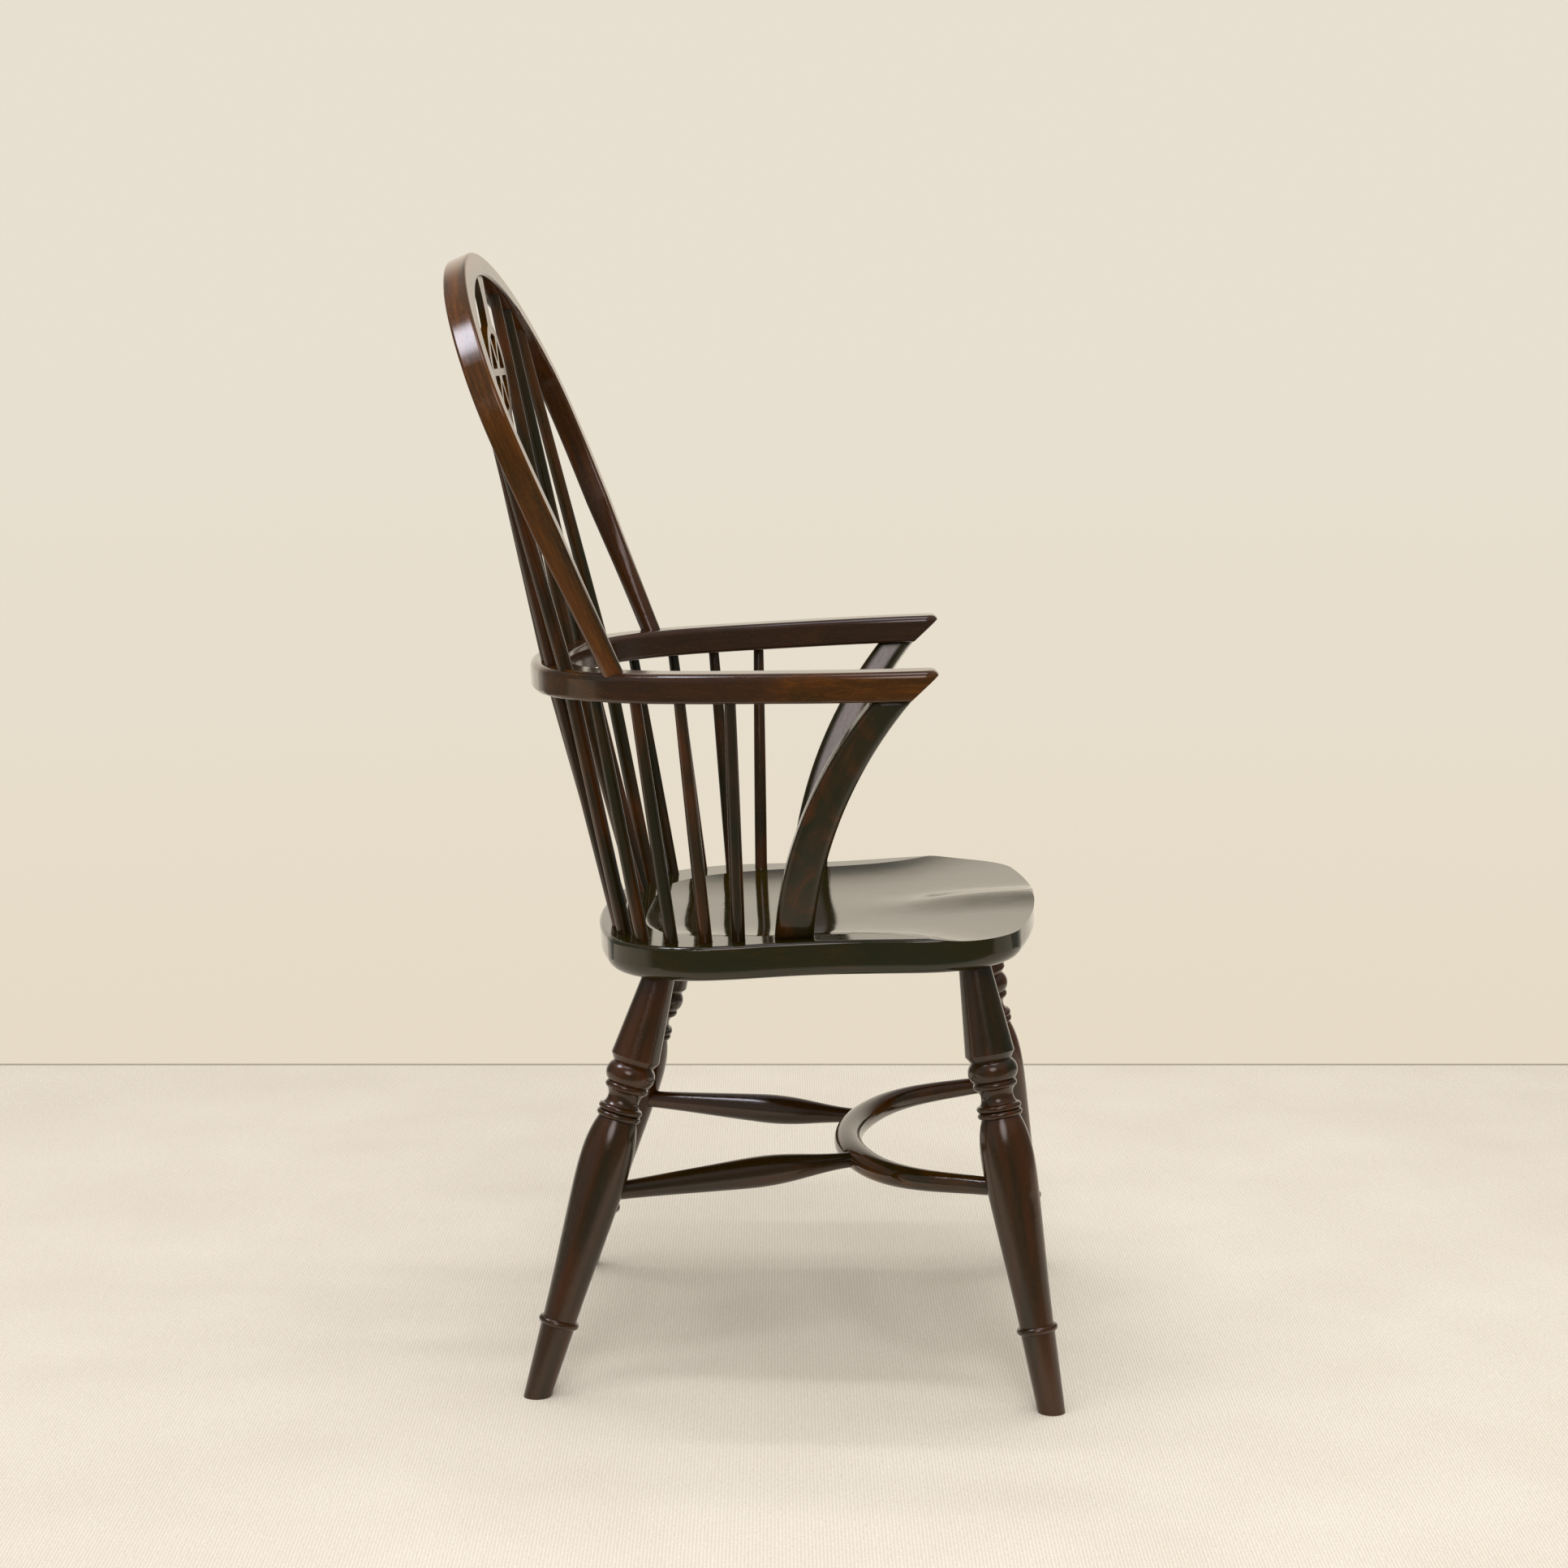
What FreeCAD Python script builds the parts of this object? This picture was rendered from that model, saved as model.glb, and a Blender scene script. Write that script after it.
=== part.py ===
import FreeCAD, Part
import Sketcher
import math
import os

# A wheelback armchair in turned and bent wood, in millimetres.
# Drawing frame: X to the sitter's left, Y back from the front edge of the seat, Z up from the floor.
# The last step moves every piece so that the origin lies under the middle of the whole chair.

os.makedirs("parts", exist_ok=True)
document = FreeCAD.newDocument("WheelbackChair")
sheet = document.addObject("Spreadsheet::Sheet", "Sizes")

# Where each spindle of one half stands, counted from the middle of the back: its run along the edge of
# the seat and its inset from it, its run along the arm bow and its outset from the bow's middle line.
spindleMarks = {
    "inner": {"seat_run": 87.5, "seat_inset": 22.8, "arm_run": 87.7, "arm_outset": 0.1},
    "middle": {"seat_run": 122.3, "seat_inset": 18.4, "arm_run": 127.5, "arm_outset": 2.5},
    "outer": {"seat_run": 152.4, "seat_inset": 18.8, "arm_run": 169.1, "arm_outset": 5.8},
    "first": {"seat_run": 208.7, "seat_inset": 18.1, "arm_run": 213.1, "arm_outset": 9.4},
    "second": {"seat_run": 250.8, "seat_inset": 21.4, "arm_run": 259.4, "arm_outset": 12.9},
    "third": {"seat_run": 293.0, "seat_inset": 27.2, "arm_run": 303.9, "arm_outset": 7.3},
    "fourth": {"seat_run": 329.0, "seat_inset": 25.5, "arm_run": 353.1, "arm_outset": 6.6},
}

sizeCells = {
    # Fits shared by every joint
    "fit_clearance": 0.15,
    "socket_end_gap": 1.0,
    # Seat
    "seat_front_height": 465.2,
    "seat_fall_angle": 2.9,
    "seat_thickness": 35.0,
    "seat_depth": 440.5,
    "seat_rear_half_width": 237.5,
    "seat_rear_turn": 15.0,
    "seat_rear_corner_radius": 112.0,
    "seat_waist_radius": 320.0,
    "seat_waist_angle": 17.0,
    "seat_flank_radius": 180.0,
    "seat_front_corner_radius": 86.0,
    "seat_front_turn": 12.0,
    "seat_upper_edge_radius": 4.0,
    "seat_lower_edge_radius": 14.0,
    "saddle_depth": 12.0,
    "saddle_rim_width": 44.0,
    "saddle_rear_margin": 6.0,
    "saddle_middle_share": 0.36,
    "saddle_steepness": 1.35,
    "saddle_mouth_setback": 88.0,
    "saddle_mouth_blend": 30.0,
    "saddle_mouth_widening": 130.0,
    "saddle_mouth_shallowing": 0.42,
    "pommel_half_width": 38.0,
    "pommel_setback": 95.0,
    "pommel_blend": 26.0,
    "pommel_share": 1.06,
    # Arm bow
    "arm_tip_height": 720.2,
    "arm_tip_setback": 99.5,
    "arm_fall_angle": 2.26,
    "arm_thickness": 28.0,
    "arm_width": 39.0,
    "arm_rear_setback": 508.5,
    "arm_crown_radius": 380.0,
    "arm_crown_turn": 18.0,
    "arm_shoulder_radius": 165.0,
    "arm_shoulder_turn": 29.0,
    "arm_quarter_radius": 207.0,
    "arm_quarter_turn": 23.0,
    "arm_flank_radius": 600.0,
    "arm_flank_turn": 7.0,
    "arm_straight_length": 62.0,
    "arm_forepart_radius": 560.0,
    "arm_forepart_turn": 13.0,
    "arm_tip_corner_radius": 13.0,
    "arm_tip_bevel": 26.0,
    "arm_upper_edge_radius": 7.0,
    "arm_lower_edge_radius": 4.0,
    # Hoop of the back
    "hoop_foot_half_span": 214.0,
    "hoop_foot_setback": 407.0,
    "hoop_rake_angle": 23.07,
    "hoop_rise": 413.5,
    "hoop_half_width": 258.0,
    "hoop_widest_rise": 245.0,
    "hoop_crown_radius": 360.0,
    "hoop_crown_turn": 25.0,
    "hoop_shoulder_turn": 55.0,
    "hoop_flank_radius": 300.0,
    "hoop_face_width": 25.0,
    "hoop_depth": 24.0,
    "hoop_edge_radius": 3.0,
    "hoop_foot_radius": 10.0,
    "hoop_foot_length": 8.0,
    "hoop_foot_taper_length": 150.0,
    "hoop_tenon_depth": 22.0,
    # Spindles
    "long_spindle_foot_radius": 7.3,
    "long_spindle_arm_radius": 7.1,
    "long_spindle_tip_radius": 5.6,
    "long_spindle_bend_reach": 16.0,
    "short_spindle_foot_radius": 6.6,
    "short_spindle_belly_radius": 6.9,
    "short_spindle_tip_radius": 5.3,
    "short_spindle_belly_share": 0.45,
    "spindle_seat_depth": 20.0,
    "short_spindle_arm_depth": 16.0,
    "spindle_hoop_depth": 12.0,
    "inner_hoop_half_span": 107.0,
    "middle_hoop_half_span": 151.0,
    "outer_hoop_half_span": 190.0,
    # Splats
    "splat_thickness": 7.0,
    "splat_tenon_depth": 10.0,
    "splat_hoop_advance": 4.0,
    "splat_arm_advance": 4.0,
    "splat_foot_half_width": 36.0,
    "splat_foot_height": 30.0,
    "splat_waist_half_width": 18.0,
    "splat_waist_drop": 62.0,
    "splat_neck_half_width": 13.0,
    "splat_crown_half_width": 18.0,
    "wheel_radius": 50.0,
    "wheel_rim_width": 11.0,
    "wheel_hub_radius": 11.0,
    "wheel_spoke_width": 7.0,
    "wheel_rise": 286.0,
    "wheel_spokes": 6,
    "lower_splat_half_width": 32.0,
    "lower_splat_waist_half_width": 23.0,
    "lower_splat_foot_setback": 421.0,
    "lower_splat_arm_advance": 3.0,
    # Arm posts
    "post_thickness": 27.0,
    "post_foot_depth": 38.0,
    "post_head_depth": 34.0,
    "post_foot_half_span": 199.0,
    "post_head_half_span": 277.0,
    "post_foot_setback": 235.0,
    "post_head_setback": 143.0,
    "post_belly": 19.3,
    "post_edge_radius": 6.0,
    "post_tenon_radius": 9.0,
    "post_tenon_depth": 18.0,
    # Legs
    "front_foot_half_span": 246.2,
    "front_foot_setback": -14.6,
    "front_leg_half_span": 193.5,
    "front_leg_setback": 62.8,
    "back_foot_half_span": 222.3,
    "back_foot_setback": 484.4,
    "back_leg_half_span": 170.0,
    "back_leg_setback": 366.5,
    "leg_tenon_length": 17.0,
    "leg_tenon_tip_radius": 12.5,
    "leg_shoulder_radius": 15.2,
    "leg_cone_length": 87.0,
    "leg_cone_radius": 24.0,
    "leg_quirk_length": 7.0,
    "leg_quirk_radius": 19.5,
    "leg_ball_length": 20.0,
    "leg_ball_radius": 24.2,
    "leg_collar_length": 7.0,
    "leg_collar_radius": 21.3,
    "leg_cove_length": 15.0,
    "leg_cove_radius": 15.6,
    "leg_neck_radius": 18.6,
    "leg_bead_length": 6.5,
    "leg_bead_radius": 21.7,
    "leg_swell_root_radius": 18.6,
    "leg_swell_rise": 46.0,
    "leg_swell_radius": 25.7,
    "leg_swell_length": 203.0,
    "leg_ankle_radius": 16.6,
    "leg_ring_length": 7.5,
    "leg_ring_radius": 20.0,
    "leg_toe_radius": 12.2,
    # Bowed stretcher between the front legs
    "bow_height": 205.0,
    "bow_fall_angle": 2.9,
    "bow_setback": 187.6,
    "bow_crown_radius": 274.0,
    "bow_corner_radius": 140.0,
    "bow_crown_angle": 27.0,
    "bow_end_angle": 66.0,
    "bow_middle_radius": 14.2,
    "bow_end_radius": 8.6,
    "bow_leg_gap": 10.0,
    # Side stretchers
    "side_stretcher_height": 196.5,
    "side_stretcher_bow_half_span": 86.0,
    "side_stretcher_back_radius": 8.8,
    "side_stretcher_swell_radius": 15.4,
    "side_stretcher_front_radius": 8.0,
    "side_stretcher_swell_share": 0.62,
    "side_stretcher_tenon_depth": 12.0,
}
for place, marks in spindleMarks.items():
    for mark, number in marks.items():
        sizeCells["%s_%s" % (place, mark)] = number

for row, (alias, number) in enumerate(sizeCells.items(), start=1):
    sheet.set("A%d" % row, alias.replace("_", " "))
    sheet.set("B%d" % row, str(number))
    sheet.setAlias("B%d" % row, alias)
document.recompute()


def size(alias):
    return float(sheet.get(alias))


def vector(x, y, z=0.0):
    return FreeCAD.Vector(x, y, z)


up = vector(0, 0, 1)
clearance = size("fit_clearance")
endGap = size("socket_end_gap")
sides = {"right": -1, "left": 1}

longSpindles = ("inner", "middle", "outer")
shortSpindles = ("first", "second", "third", "fourth")


# Planes that the pieces share

def seatTop(setback):
    fall = math.tan(math.radians(size("seat_fall_angle")))
    return size("seat_front_height") - fall * setback


def armTop(setback):
    fall = math.tan(math.radians(size("arm_fall_angle")))
    return size("arm_tip_height") - fall * (setback - size("arm_tip_setback"))


def armUnder(setback):
    return armTop(setback) - size("arm_thickness") / math.cos(math.radians(size("arm_fall_angle")))


def hoopPoint(halfSpan, rise):
    rake = math.radians(size("hoop_rake_angle"))
    foot = armTop(size("hoop_foot_setback"))
    return vector(halfSpan, size("hoop_foot_setback") + rise * math.sin(rake), foot + rise * math.cos(rake))


def rakedPlacement():
    # Sketch X stays X, sketch Y runs up the rake of the hoop
    turn = FreeCAD.Rotation(vector(1, 0, 0), 90 - size("hoop_rake_angle"))
    return FreeCAD.Placement(hoopPoint(0, 0), turn)


# Small tools for shapes

def arcRun(start, heading, bends):
    # Bends are (radius, turn in degrees) pairs, a negative turn bends to the other hand, and a pair
    # (length, None) is straight. Heading 0 runs along +X and heading 90 along -Y.
    point = start
    angle = heading
    pieces = []
    for reach, turn in bends:
        if turn is None:
            way = vector(math.cos(math.radians(angle)), -math.sin(math.radians(angle)))
            end = point + way * reach
            pieces.append((point, None, end))
        else:
            hand = 1 if turn > 0 else -1
            middle = bendPoint(point, angle, reach * hand, turn / 2)
            end = bendPoint(point, angle, reach * hand, turn)
            pieces.append((point, middle, end))
            angle += turn
        point = end
    return pieces


def bendPoint(point, angle, radius, turn):
    first = math.radians(angle)
    last = math.radians(angle + turn)
    across = radius * (math.sin(last) - math.sin(first))
    return point + vector(across, radius * (math.cos(last) - math.cos(first)))


def mirrored(point):
    return vector(-point.x, point.y, point.z)


def runEdges(pieces):
    edges = []
    for start, middle, end in pieces:
        if middle is None:
            edges.append(Part.LineSegment(start, end))
        else:
            edges.append(Part.Arc(start, middle, end))
    return edges


def bothHalves(pieces):
    # The right half is the left one seen in a mirror, run backwards so that the outline goes round
    reflected = [
        (mirrored(end), None if middle is None else mirrored(middle), mirrored(start))
        for start, middle, end in reversed(pieces)
    ]
    return reflected + pieces


def pointAlong(pieces, distance):
    # The point of a plan line at a distance from its middle, and the direction there
    for start, middle, end in pieces:
        curve = Part.LineSegment(start, end) if middle is None else Part.Arc(start, middle, end)
        length = curve.length()
        if distance <= length + 1e-6:
            parameter = curve.parameterAtDistance(min(distance, length), curve.FirstParameter)
            return curve.value(parameter), curve.tangent(parameter)[0]
        distance -= length
    return end, (end - start).normalize()


def runLength(pieces):
    return sum(edge.length() for edge in runEdges(pieces))


def markedPoint(pieces, run, inset, hand):
    # A point beside the plan line, inwards by the inset, on the left half or mirrored
    point, way = pointAlong(pieces, run)
    spot = point + vector(way.y, -way.x) * inset
    return vector(hand * spot.x, spot.y)


def newBody(name):
    body = document.addObject("PartDesign::Body", name)
    body.Label = name
    return body


def originPlane(body, role):
    return [feature for feature in body.Origin.OriginFeatures if feature.Role == role][0]


def newSketch(body, role, name, geometry):
    sketch = body.newObject("Sketcher::SketchObject", name)
    sketch.AttachmentSupport = (originPlane(body, role), "")
    sketch.MapMode = "FlatFace"
    sketch.addGeometry(geometry, False)
    return sketch


def addPad(body, sketch, name, alias, midplane=False):
    pad = body.newObject("PartDesign::Pad", name)
    pad.Profile = sketch
    pad.setExpression("Length", "Sizes." + alias)
    pad.Midplane = midplane
    document.recompute()
    return pad


def addFillet(body, base, name, alias, test):
    # Rounds the edges of the base feature for which test(edge) holds
    names = ["Edge%d" % (index + 1) for index, edge in enumerate(base.Shape.Edges) if test(edge)]
    fillet = body.newObject("PartDesign::Fillet", name)
    fillet.Base = (base, names)
    fillet.setExpression("Radius", "Sizes." + alias)
    document.recompute()
    return fillet


def turnedBody(name, outline):
    # The outline is a list of curves in the XZ plane from the lower end of the axis to the upper end
    body = newBody(name)
    low = outline[0].StartPoint
    high = outline[-1].EndPoint
    closing = [
        Part.LineSegment(vector(0, low.y), low),
        Part.LineSegment(high, vector(0, high.y)),
        Part.LineSegment(vector(0, high.y), vector(0, low.y)),
    ]
    sketch = newSketch(body, "XZ_Plane", name + "_profile", [closing[0]] + outline + closing[1:])
    revolution = body.newObject("PartDesign::Revolution", name + "_turning")
    revolution.Profile = sketch
    revolution.ReferenceAxis = (sketch, ["V_Axis"])
    revolution.Angle = 360
    document.recompute()
    return body


def axisPlacement(start, end):
    return FreeCAD.Placement(start, FreeCAD.Rotation(up, end - start))


def profileLine(first, last):
    return Part.LineSegment(vector(*first), vector(*last))


def profileArc(first, middle, last):
    return Part.Arc(vector(*first), vector(*middle), vector(*last))


def profileCurve(points):
    curve = Part.BSplineCurve()
    curve.interpolate([vector(*point) for point in points])
    return curve


def cutPiece(name, blank, tools):
    # The finished piece is its blank with every socket, mortise and trimming cut taken out
    gathered = document.addObject("Part::Feature", name + "_cuts")
    gathered.Shape = tools[0].fuse(tools[1:]) if len(tools) > 1 else tools[0]
    piece = document.addObject("Part::Cut", name)
    piece.Base = blank
    piece.Tool = gathered
    piece.Label = name
    document.recompute()
    return piece


def coneBetween(start, end, startRadius, endRadius):
    way = end - start
    if abs(startRadius - endRadius) < 1e-6:
        return Part.makeCylinder(startRadius, way.Length, start, way)
    return Part.makeCone(startRadius, endRadius, way.Length, start, way)


finished = {}
blanks = {}
seatCuts = []
armCuts = []
hoopCuts = []


def keep(name, piece):
    piece.Label = name
    finished[name] = piece


# Spindles

def shortSpindle(name, seatPoint, armPoint):
    axis = (armPoint - seatPoint).normalize()
    foot = seatPoint - axis * size("spindle_seat_depth")
    tip = armPoint + axis * size("short_spindle_arm_depth")
    length = (tip - foot).Length
    footRadius = size("short_spindle_foot_radius")
    tipRadius = size("short_spindle_tip_radius")
    middleRadius = (size("short_spindle_belly_radius") * 2 + tipRadius) / 3
    belly = length * size("short_spindle_belly_share")
    curve = profileArc((footRadius, 0), (middleRadius, belly), (tipRadius, length))
    body = turnedBody(name, [curve])
    body.Placement = axisPlacement(foot, tip)
    keep(name, body)
    seatCuts.append(coneBetween(foot - axis * endGap, seatPoint + axis * 30,
                                size("short_spindle_belly_radius") + clearance,
                                size("short_spindle_belly_radius") + clearance))
    armCuts.append(coneBetween(armPoint - axis * 20, tip + axis * endGap,
                               tipRadius + clearance * 3, tipRadius + clearance))


def bentStick(foot, knee, tip, footRadius, kneeRadius, tipRadius):
    # A round stick sprung through the arm bow: straight below it and above it, bent inside the hole
    bend = size("long_spindle_bend_reach")
    lowerWay = (knee - foot).normalize()
    upperWay = (tip - knee).normalize()
    stations = [
        (foot, lowerWay, footRadius),
        (knee - lowerWay * bend, lowerWay, kneeRadius),
        (knee + upperWay * bend, upperWay, kneeRadius),
        (tip, upperWay, tipRadius),
    ]
    rings = [Part.Wire(Part.Edge(Part.Circle(point, way, radius))) for point, way, radius in stations]
    return Part.makeLoft(rings, True, True)


def longSpindle(name, seatPoint, armPoint, hoopEnd):
    lowerWay = (armPoint - seatPoint).normalize()
    upperWay = (hoopEnd - armPoint).normalize()
    foot = seatPoint - lowerWay * size("spindle_seat_depth")
    radii = [size("long_spindle_%s_radius" % place) for place in ("foot", "arm", "tip")]
    stick = document.addObject("Part::Feature", name)
    stick.Shape = bentStick(foot, armPoint, hoopEnd, *radii)
    keep(name, stick)
    looser = [radius + clearance for radius in radii]
    armCuts.append(bentStick(armPoint - lowerWay * 60, armPoint, armPoint + upperWay * 60,
                             looser[1], looser[1], looser[1]))
    seatCuts.append(coneBetween(foot - lowerWay * endGap, seatPoint + lowerWay * 30, looser[0], looser[0]))
    near = hoopEnd - upperWay * 60
    share = 60 / (hoopEnd - armPoint).Length
    nearRadius = looser[2] + (looser[1] - looser[2]) * share
    hoopCuts.append(coneBetween(near, hoopEnd + upperWay * endGap, nearRadius, looser[2]))


def hoopCentreRise(halfSpan):
    # Rise of the hoop's centre line above the arm at a half span, on its upper arcs
    for radius, centreAcross, centreRise, first, last in hoopArcs():
        across = (halfSpan - centreAcross) / radius
        if abs(across) <= 1:
            angle = math.degrees(math.asin(across))
            if first - 0.01 <= angle <= last + 0.01:
                return centreRise + radius * math.cos(math.radians(angle))
    raise ValueError("no point of the hoop at half span %s" % halfSpan)


def hoopArcs():
    # Three arcs from the crown to the widest point, with the two lower radii worked out from the size
    turns = [0, size("hoop_crown_turn"), size("hoop_shoulder_turn"), 90]
    crown = size("hoop_crown_radius")
    drop = size("hoop_rise") - size("hoop_widest_rise")
    sines = [math.sin(math.radians(angle)) for angle in turns]
    cosines = [math.cos(math.radians(angle)) for angle in turns]
    across = size("hoop_half_width") - crown * (sines[1] - sines[0])
    down = drop - crown * (cosines[0] - cosines[1])
    a, b = sines[2] - sines[1], sines[3] - sines[2]
    c, d = cosines[1] - cosines[2], cosines[2] - cosines[3]
    shoulder = (across * d - b * down) / (a * d - b * c)
    side = (a * down - c * across) / (a * d - b * c)
    arcs = []
    centre = (0.0, size("hoop_rise") - crown)
    previous = crown
    for index, radius in enumerate((crown, shoulder, side)):
        shift = previous - radius
        centre = (centre[0] + shift * sines[index], centre[1] + shift * cosines[index])
        arcs.append((radius, centre[0], centre[1], turns[index], turns[index + 1]))
        previous = radius
    return arcs


def makeSpindles():
    seatEdge = seatHalf()
    armLine = armRun(0)
    for sideName, hand in sides.items():
        for place in longSpindles + shortSpindles:
            seatSpot = markedPoint(seatEdge, size(place + "_seat_run"), size(place + "_seat_inset"), hand)
            armSpot = markedPoint(armLine, size(place + "_arm_run"), -size(place + "_arm_outset"), hand)
            seatPoint = vector(seatSpot.x, seatSpot.y, seatTop(seatSpot.y))
            armPoint = vector(armSpot.x, armSpot.y, armUnder(armSpot.y))
            if place in shortSpindles:
                shortSpindle("short_spindle_%s_%s" % (sideName, place), seatPoint, armPoint)
                continue
            armPoint.z = (armTop(armSpot.y) + armUnder(armSpot.y)) / 2
            halfSpan = size(place + "_hoop_half_span")
            mouth = hoopPoint(hand * halfSpan, hoopCentreRise(halfSpan) - size("hoop_face_width") / 2)
            axis = (mouth - armPoint).normalize()
            longSpindle("long_spindle_%s_%s" % (sideName, place), seatPoint, armPoint,
                        mouth + axis * size("spindle_hoop_depth"))


# Legs

def legOutline(length):
    # From the floor end upwards. Heights are measured from the shoulder at the seat, so the toe takes
    # up whatever the leg's length leaves.
    stations = {}
    run = 0.0
    for part in ("cone", "quirk", "ball", "collar", "cove", "bead", "bead_two", "swell", "ring"):
        alias = "leg_bead_length" if part == "bead_two" else "leg_%s_length" % part
        stations[part] = run
        run += size(alias)
    stations["toe"] = run

    def height(part, share=0.0, span=0.0):
        return length - stations[part] - share * span

    beadLength = size("leg_bead_length")
    collarLength = size("leg_collar_length")
    coveLength = size("leg_cove_length")
    ballLength = size("leg_ball_length")
    ringLength = size("leg_ring_length")
    swellLength = size("leg_swell_length")
    ankle = size("leg_ankle_radius")
    root = size("leg_swell_root_radius")
    bead = size("leg_bead_radius")
    quirk = size("leg_quirk_radius")
    neck = size("leg_neck_radius")
    cone = size("leg_cone_radius")
    ringFoot = height("toe")
    ringHead = height("ring")
    swellHead = height("swell")
    outline = [
        profileLine((size("leg_toe_radius"), -20.0), (ankle, ringFoot)),
        profileArc((ankle, ringFoot), (size("leg_ring_radius"), ringFoot + ringLength / 2),
                   (ankle, ringHead)),
        profileCurve([
            (ankle, ringHead),
            (ankle + 0.35 * (size("leg_swell_radius") - ankle), ringHead + 0.27 * swellLength),
            (size("leg_swell_radius") - 1.4, swellHead - 1.75 * size("leg_swell_rise")),
            (size("leg_swell_radius"), swellHead - size("leg_swell_rise")),
            (size("leg_swell_radius") - 1.6, swellHead - 0.45 * size("leg_swell_rise")),
            (root, swellHead),
        ]),
    ]
    for part in ("bead_two", "bead"):
        foot = height(part) - beadLength
        outline.append(profileArc((root, foot), (bead, foot + beadLength / 2), (root, foot + beadLength)))
    coveFoot = height("cove") - coveLength
    collarFoot = height("collar") - collarLength
    ballFoot = height("ball") - ballLength
    ballHead = height("ball")
    coneFoot = height("quirk")
    outline += [
        profileLine((root, coveFoot), (root - 0.6, coveFoot + 0.5)),
        profileArc((root - 0.6, coveFoot + 0.5), (size("leg_cove_radius"), coveFoot + coveLength * 0.45),
                   (neck, collarFoot)),
        profileArc((neck, collarFoot), (size("leg_collar_radius"), collarFoot + collarLength / 2),
                   (quirk, ballFoot)),
        profileArc((quirk, ballFoot), (size("leg_ball_radius"), ballFoot + ballLength / 2),
                   (quirk, ballHead)),
        profileLine((quirk, ballHead), (cone, coneFoot)),
        profileLine((cone, coneFoot), (size("leg_shoulder_radius"), length)),
        profileLine((size("leg_shoulder_radius"), length),
                    (size("leg_tenon_tip_radius"), length + size("leg_tenon_length"))),
    ]
    return outline


def seatUnder(setback):
    return seatTop(setback) - size("seat_thickness") / math.cos(math.radians(size("seat_fall_angle")))


def legAxis(place, hand):
    foot = vector(hand * size(place + "_foot_half_span"), size(place + "_foot_setback"), 0)
    head = vector(hand * size(place + "_leg_half_span"), size(place + "_leg_setback"),
                  seatUnder(size(place + "_leg_setback")))
    return foot, head


def makeLegs():
    for place in ("front", "back"):
        for sideName, hand in sides.items():
            name = "%s_leg_%s" % (place, sideName)
            foot, head = legAxis(place, hand)
            axis = (head - foot).normalize()
            body = turnedBody(name + "_turned", legOutline((head - foot).Length))
            body.Placement = axisPlacement(foot, head)
            blanks[name] = body
            tenon = size("leg_tenon_length")
            tipRadius = size("leg_tenon_tip_radius") + clearance
            shoulderRadius = size("leg_shoulder_radius") + clearance
            growth = (size("leg_cone_radius") - size("leg_shoulder_radius")) / size("leg_cone_length")
            below = 20.0
            seatCuts.append(coneBetween(head, head + axis * (tenon + endGap), shoulderRadius, tipRadius))
            seatCuts.append(coneBetween(head - axis * below, head, shoulderRadius + growth * below,
                                        shoulderRadius))


# Stretchers

def bowPlane(setback):
    fall = math.tan(math.radians(size("bow_fall_angle")))
    return size("bow_height") + fall * (size("bow_setback") - setback)


def bowRun():
    # Centre line of one half of the bow in plan, from the middle to the front leg's axis
    crown = size("bow_crown_angle")
    end = size("bow_end_angle")
    pieces = arcRun(vector(0, size("bow_setback")), 0,
                    [(size("bow_crown_radius"), crown), (size("bow_corner_radius"), end - crown)])
    corner = pieces[-1][2]
    foot, head = legAxis("front", 1)
    # The straight end meets the leg's axis at the height of the bow
    share = bowPlane(size("front_foot_setback") + 30) / head.z
    target = foot + (head - foot) * share
    pieces.append((corner, None, vector(target.x, target.y)))
    return pieces


def makeBow():
    name = "bowed_stretcher"
    pieces = bowRun()
    reach = runLength(pieces) - size("bow_leg_gap")
    stations = 9
    rings = []
    for index in range(-stations, stations + 1):
        share = abs(index) / stations
        point, way = pointAlong(pieces, reach * share)
        if index < 0:
            point = mirrored(point)
            way = vector(way.x, -way.y)
        middleRadius = size("bow_middle_radius")
        endRadius = size("bow_end_radius")
        radius = endRadius + (middleRadius - endRadius) * math.cos(math.radians(90 * share)) ** 1.3
        place = vector(point.x, point.y, bowPlane(point.y))
        rise = vector(way.x, way.y, -way.y * math.tan(math.radians(size("bow_fall_angle"))))
        rings.append(Part.Wire(Part.Edge(Part.Circle(place, rise, radius))))
    blank = document.addObject("Part::Feature", name + "_blank")
    blank.Shape = Part.makeLoft(rings, True, False)
    document.recompute()
    blanks[name] = blank


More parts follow.
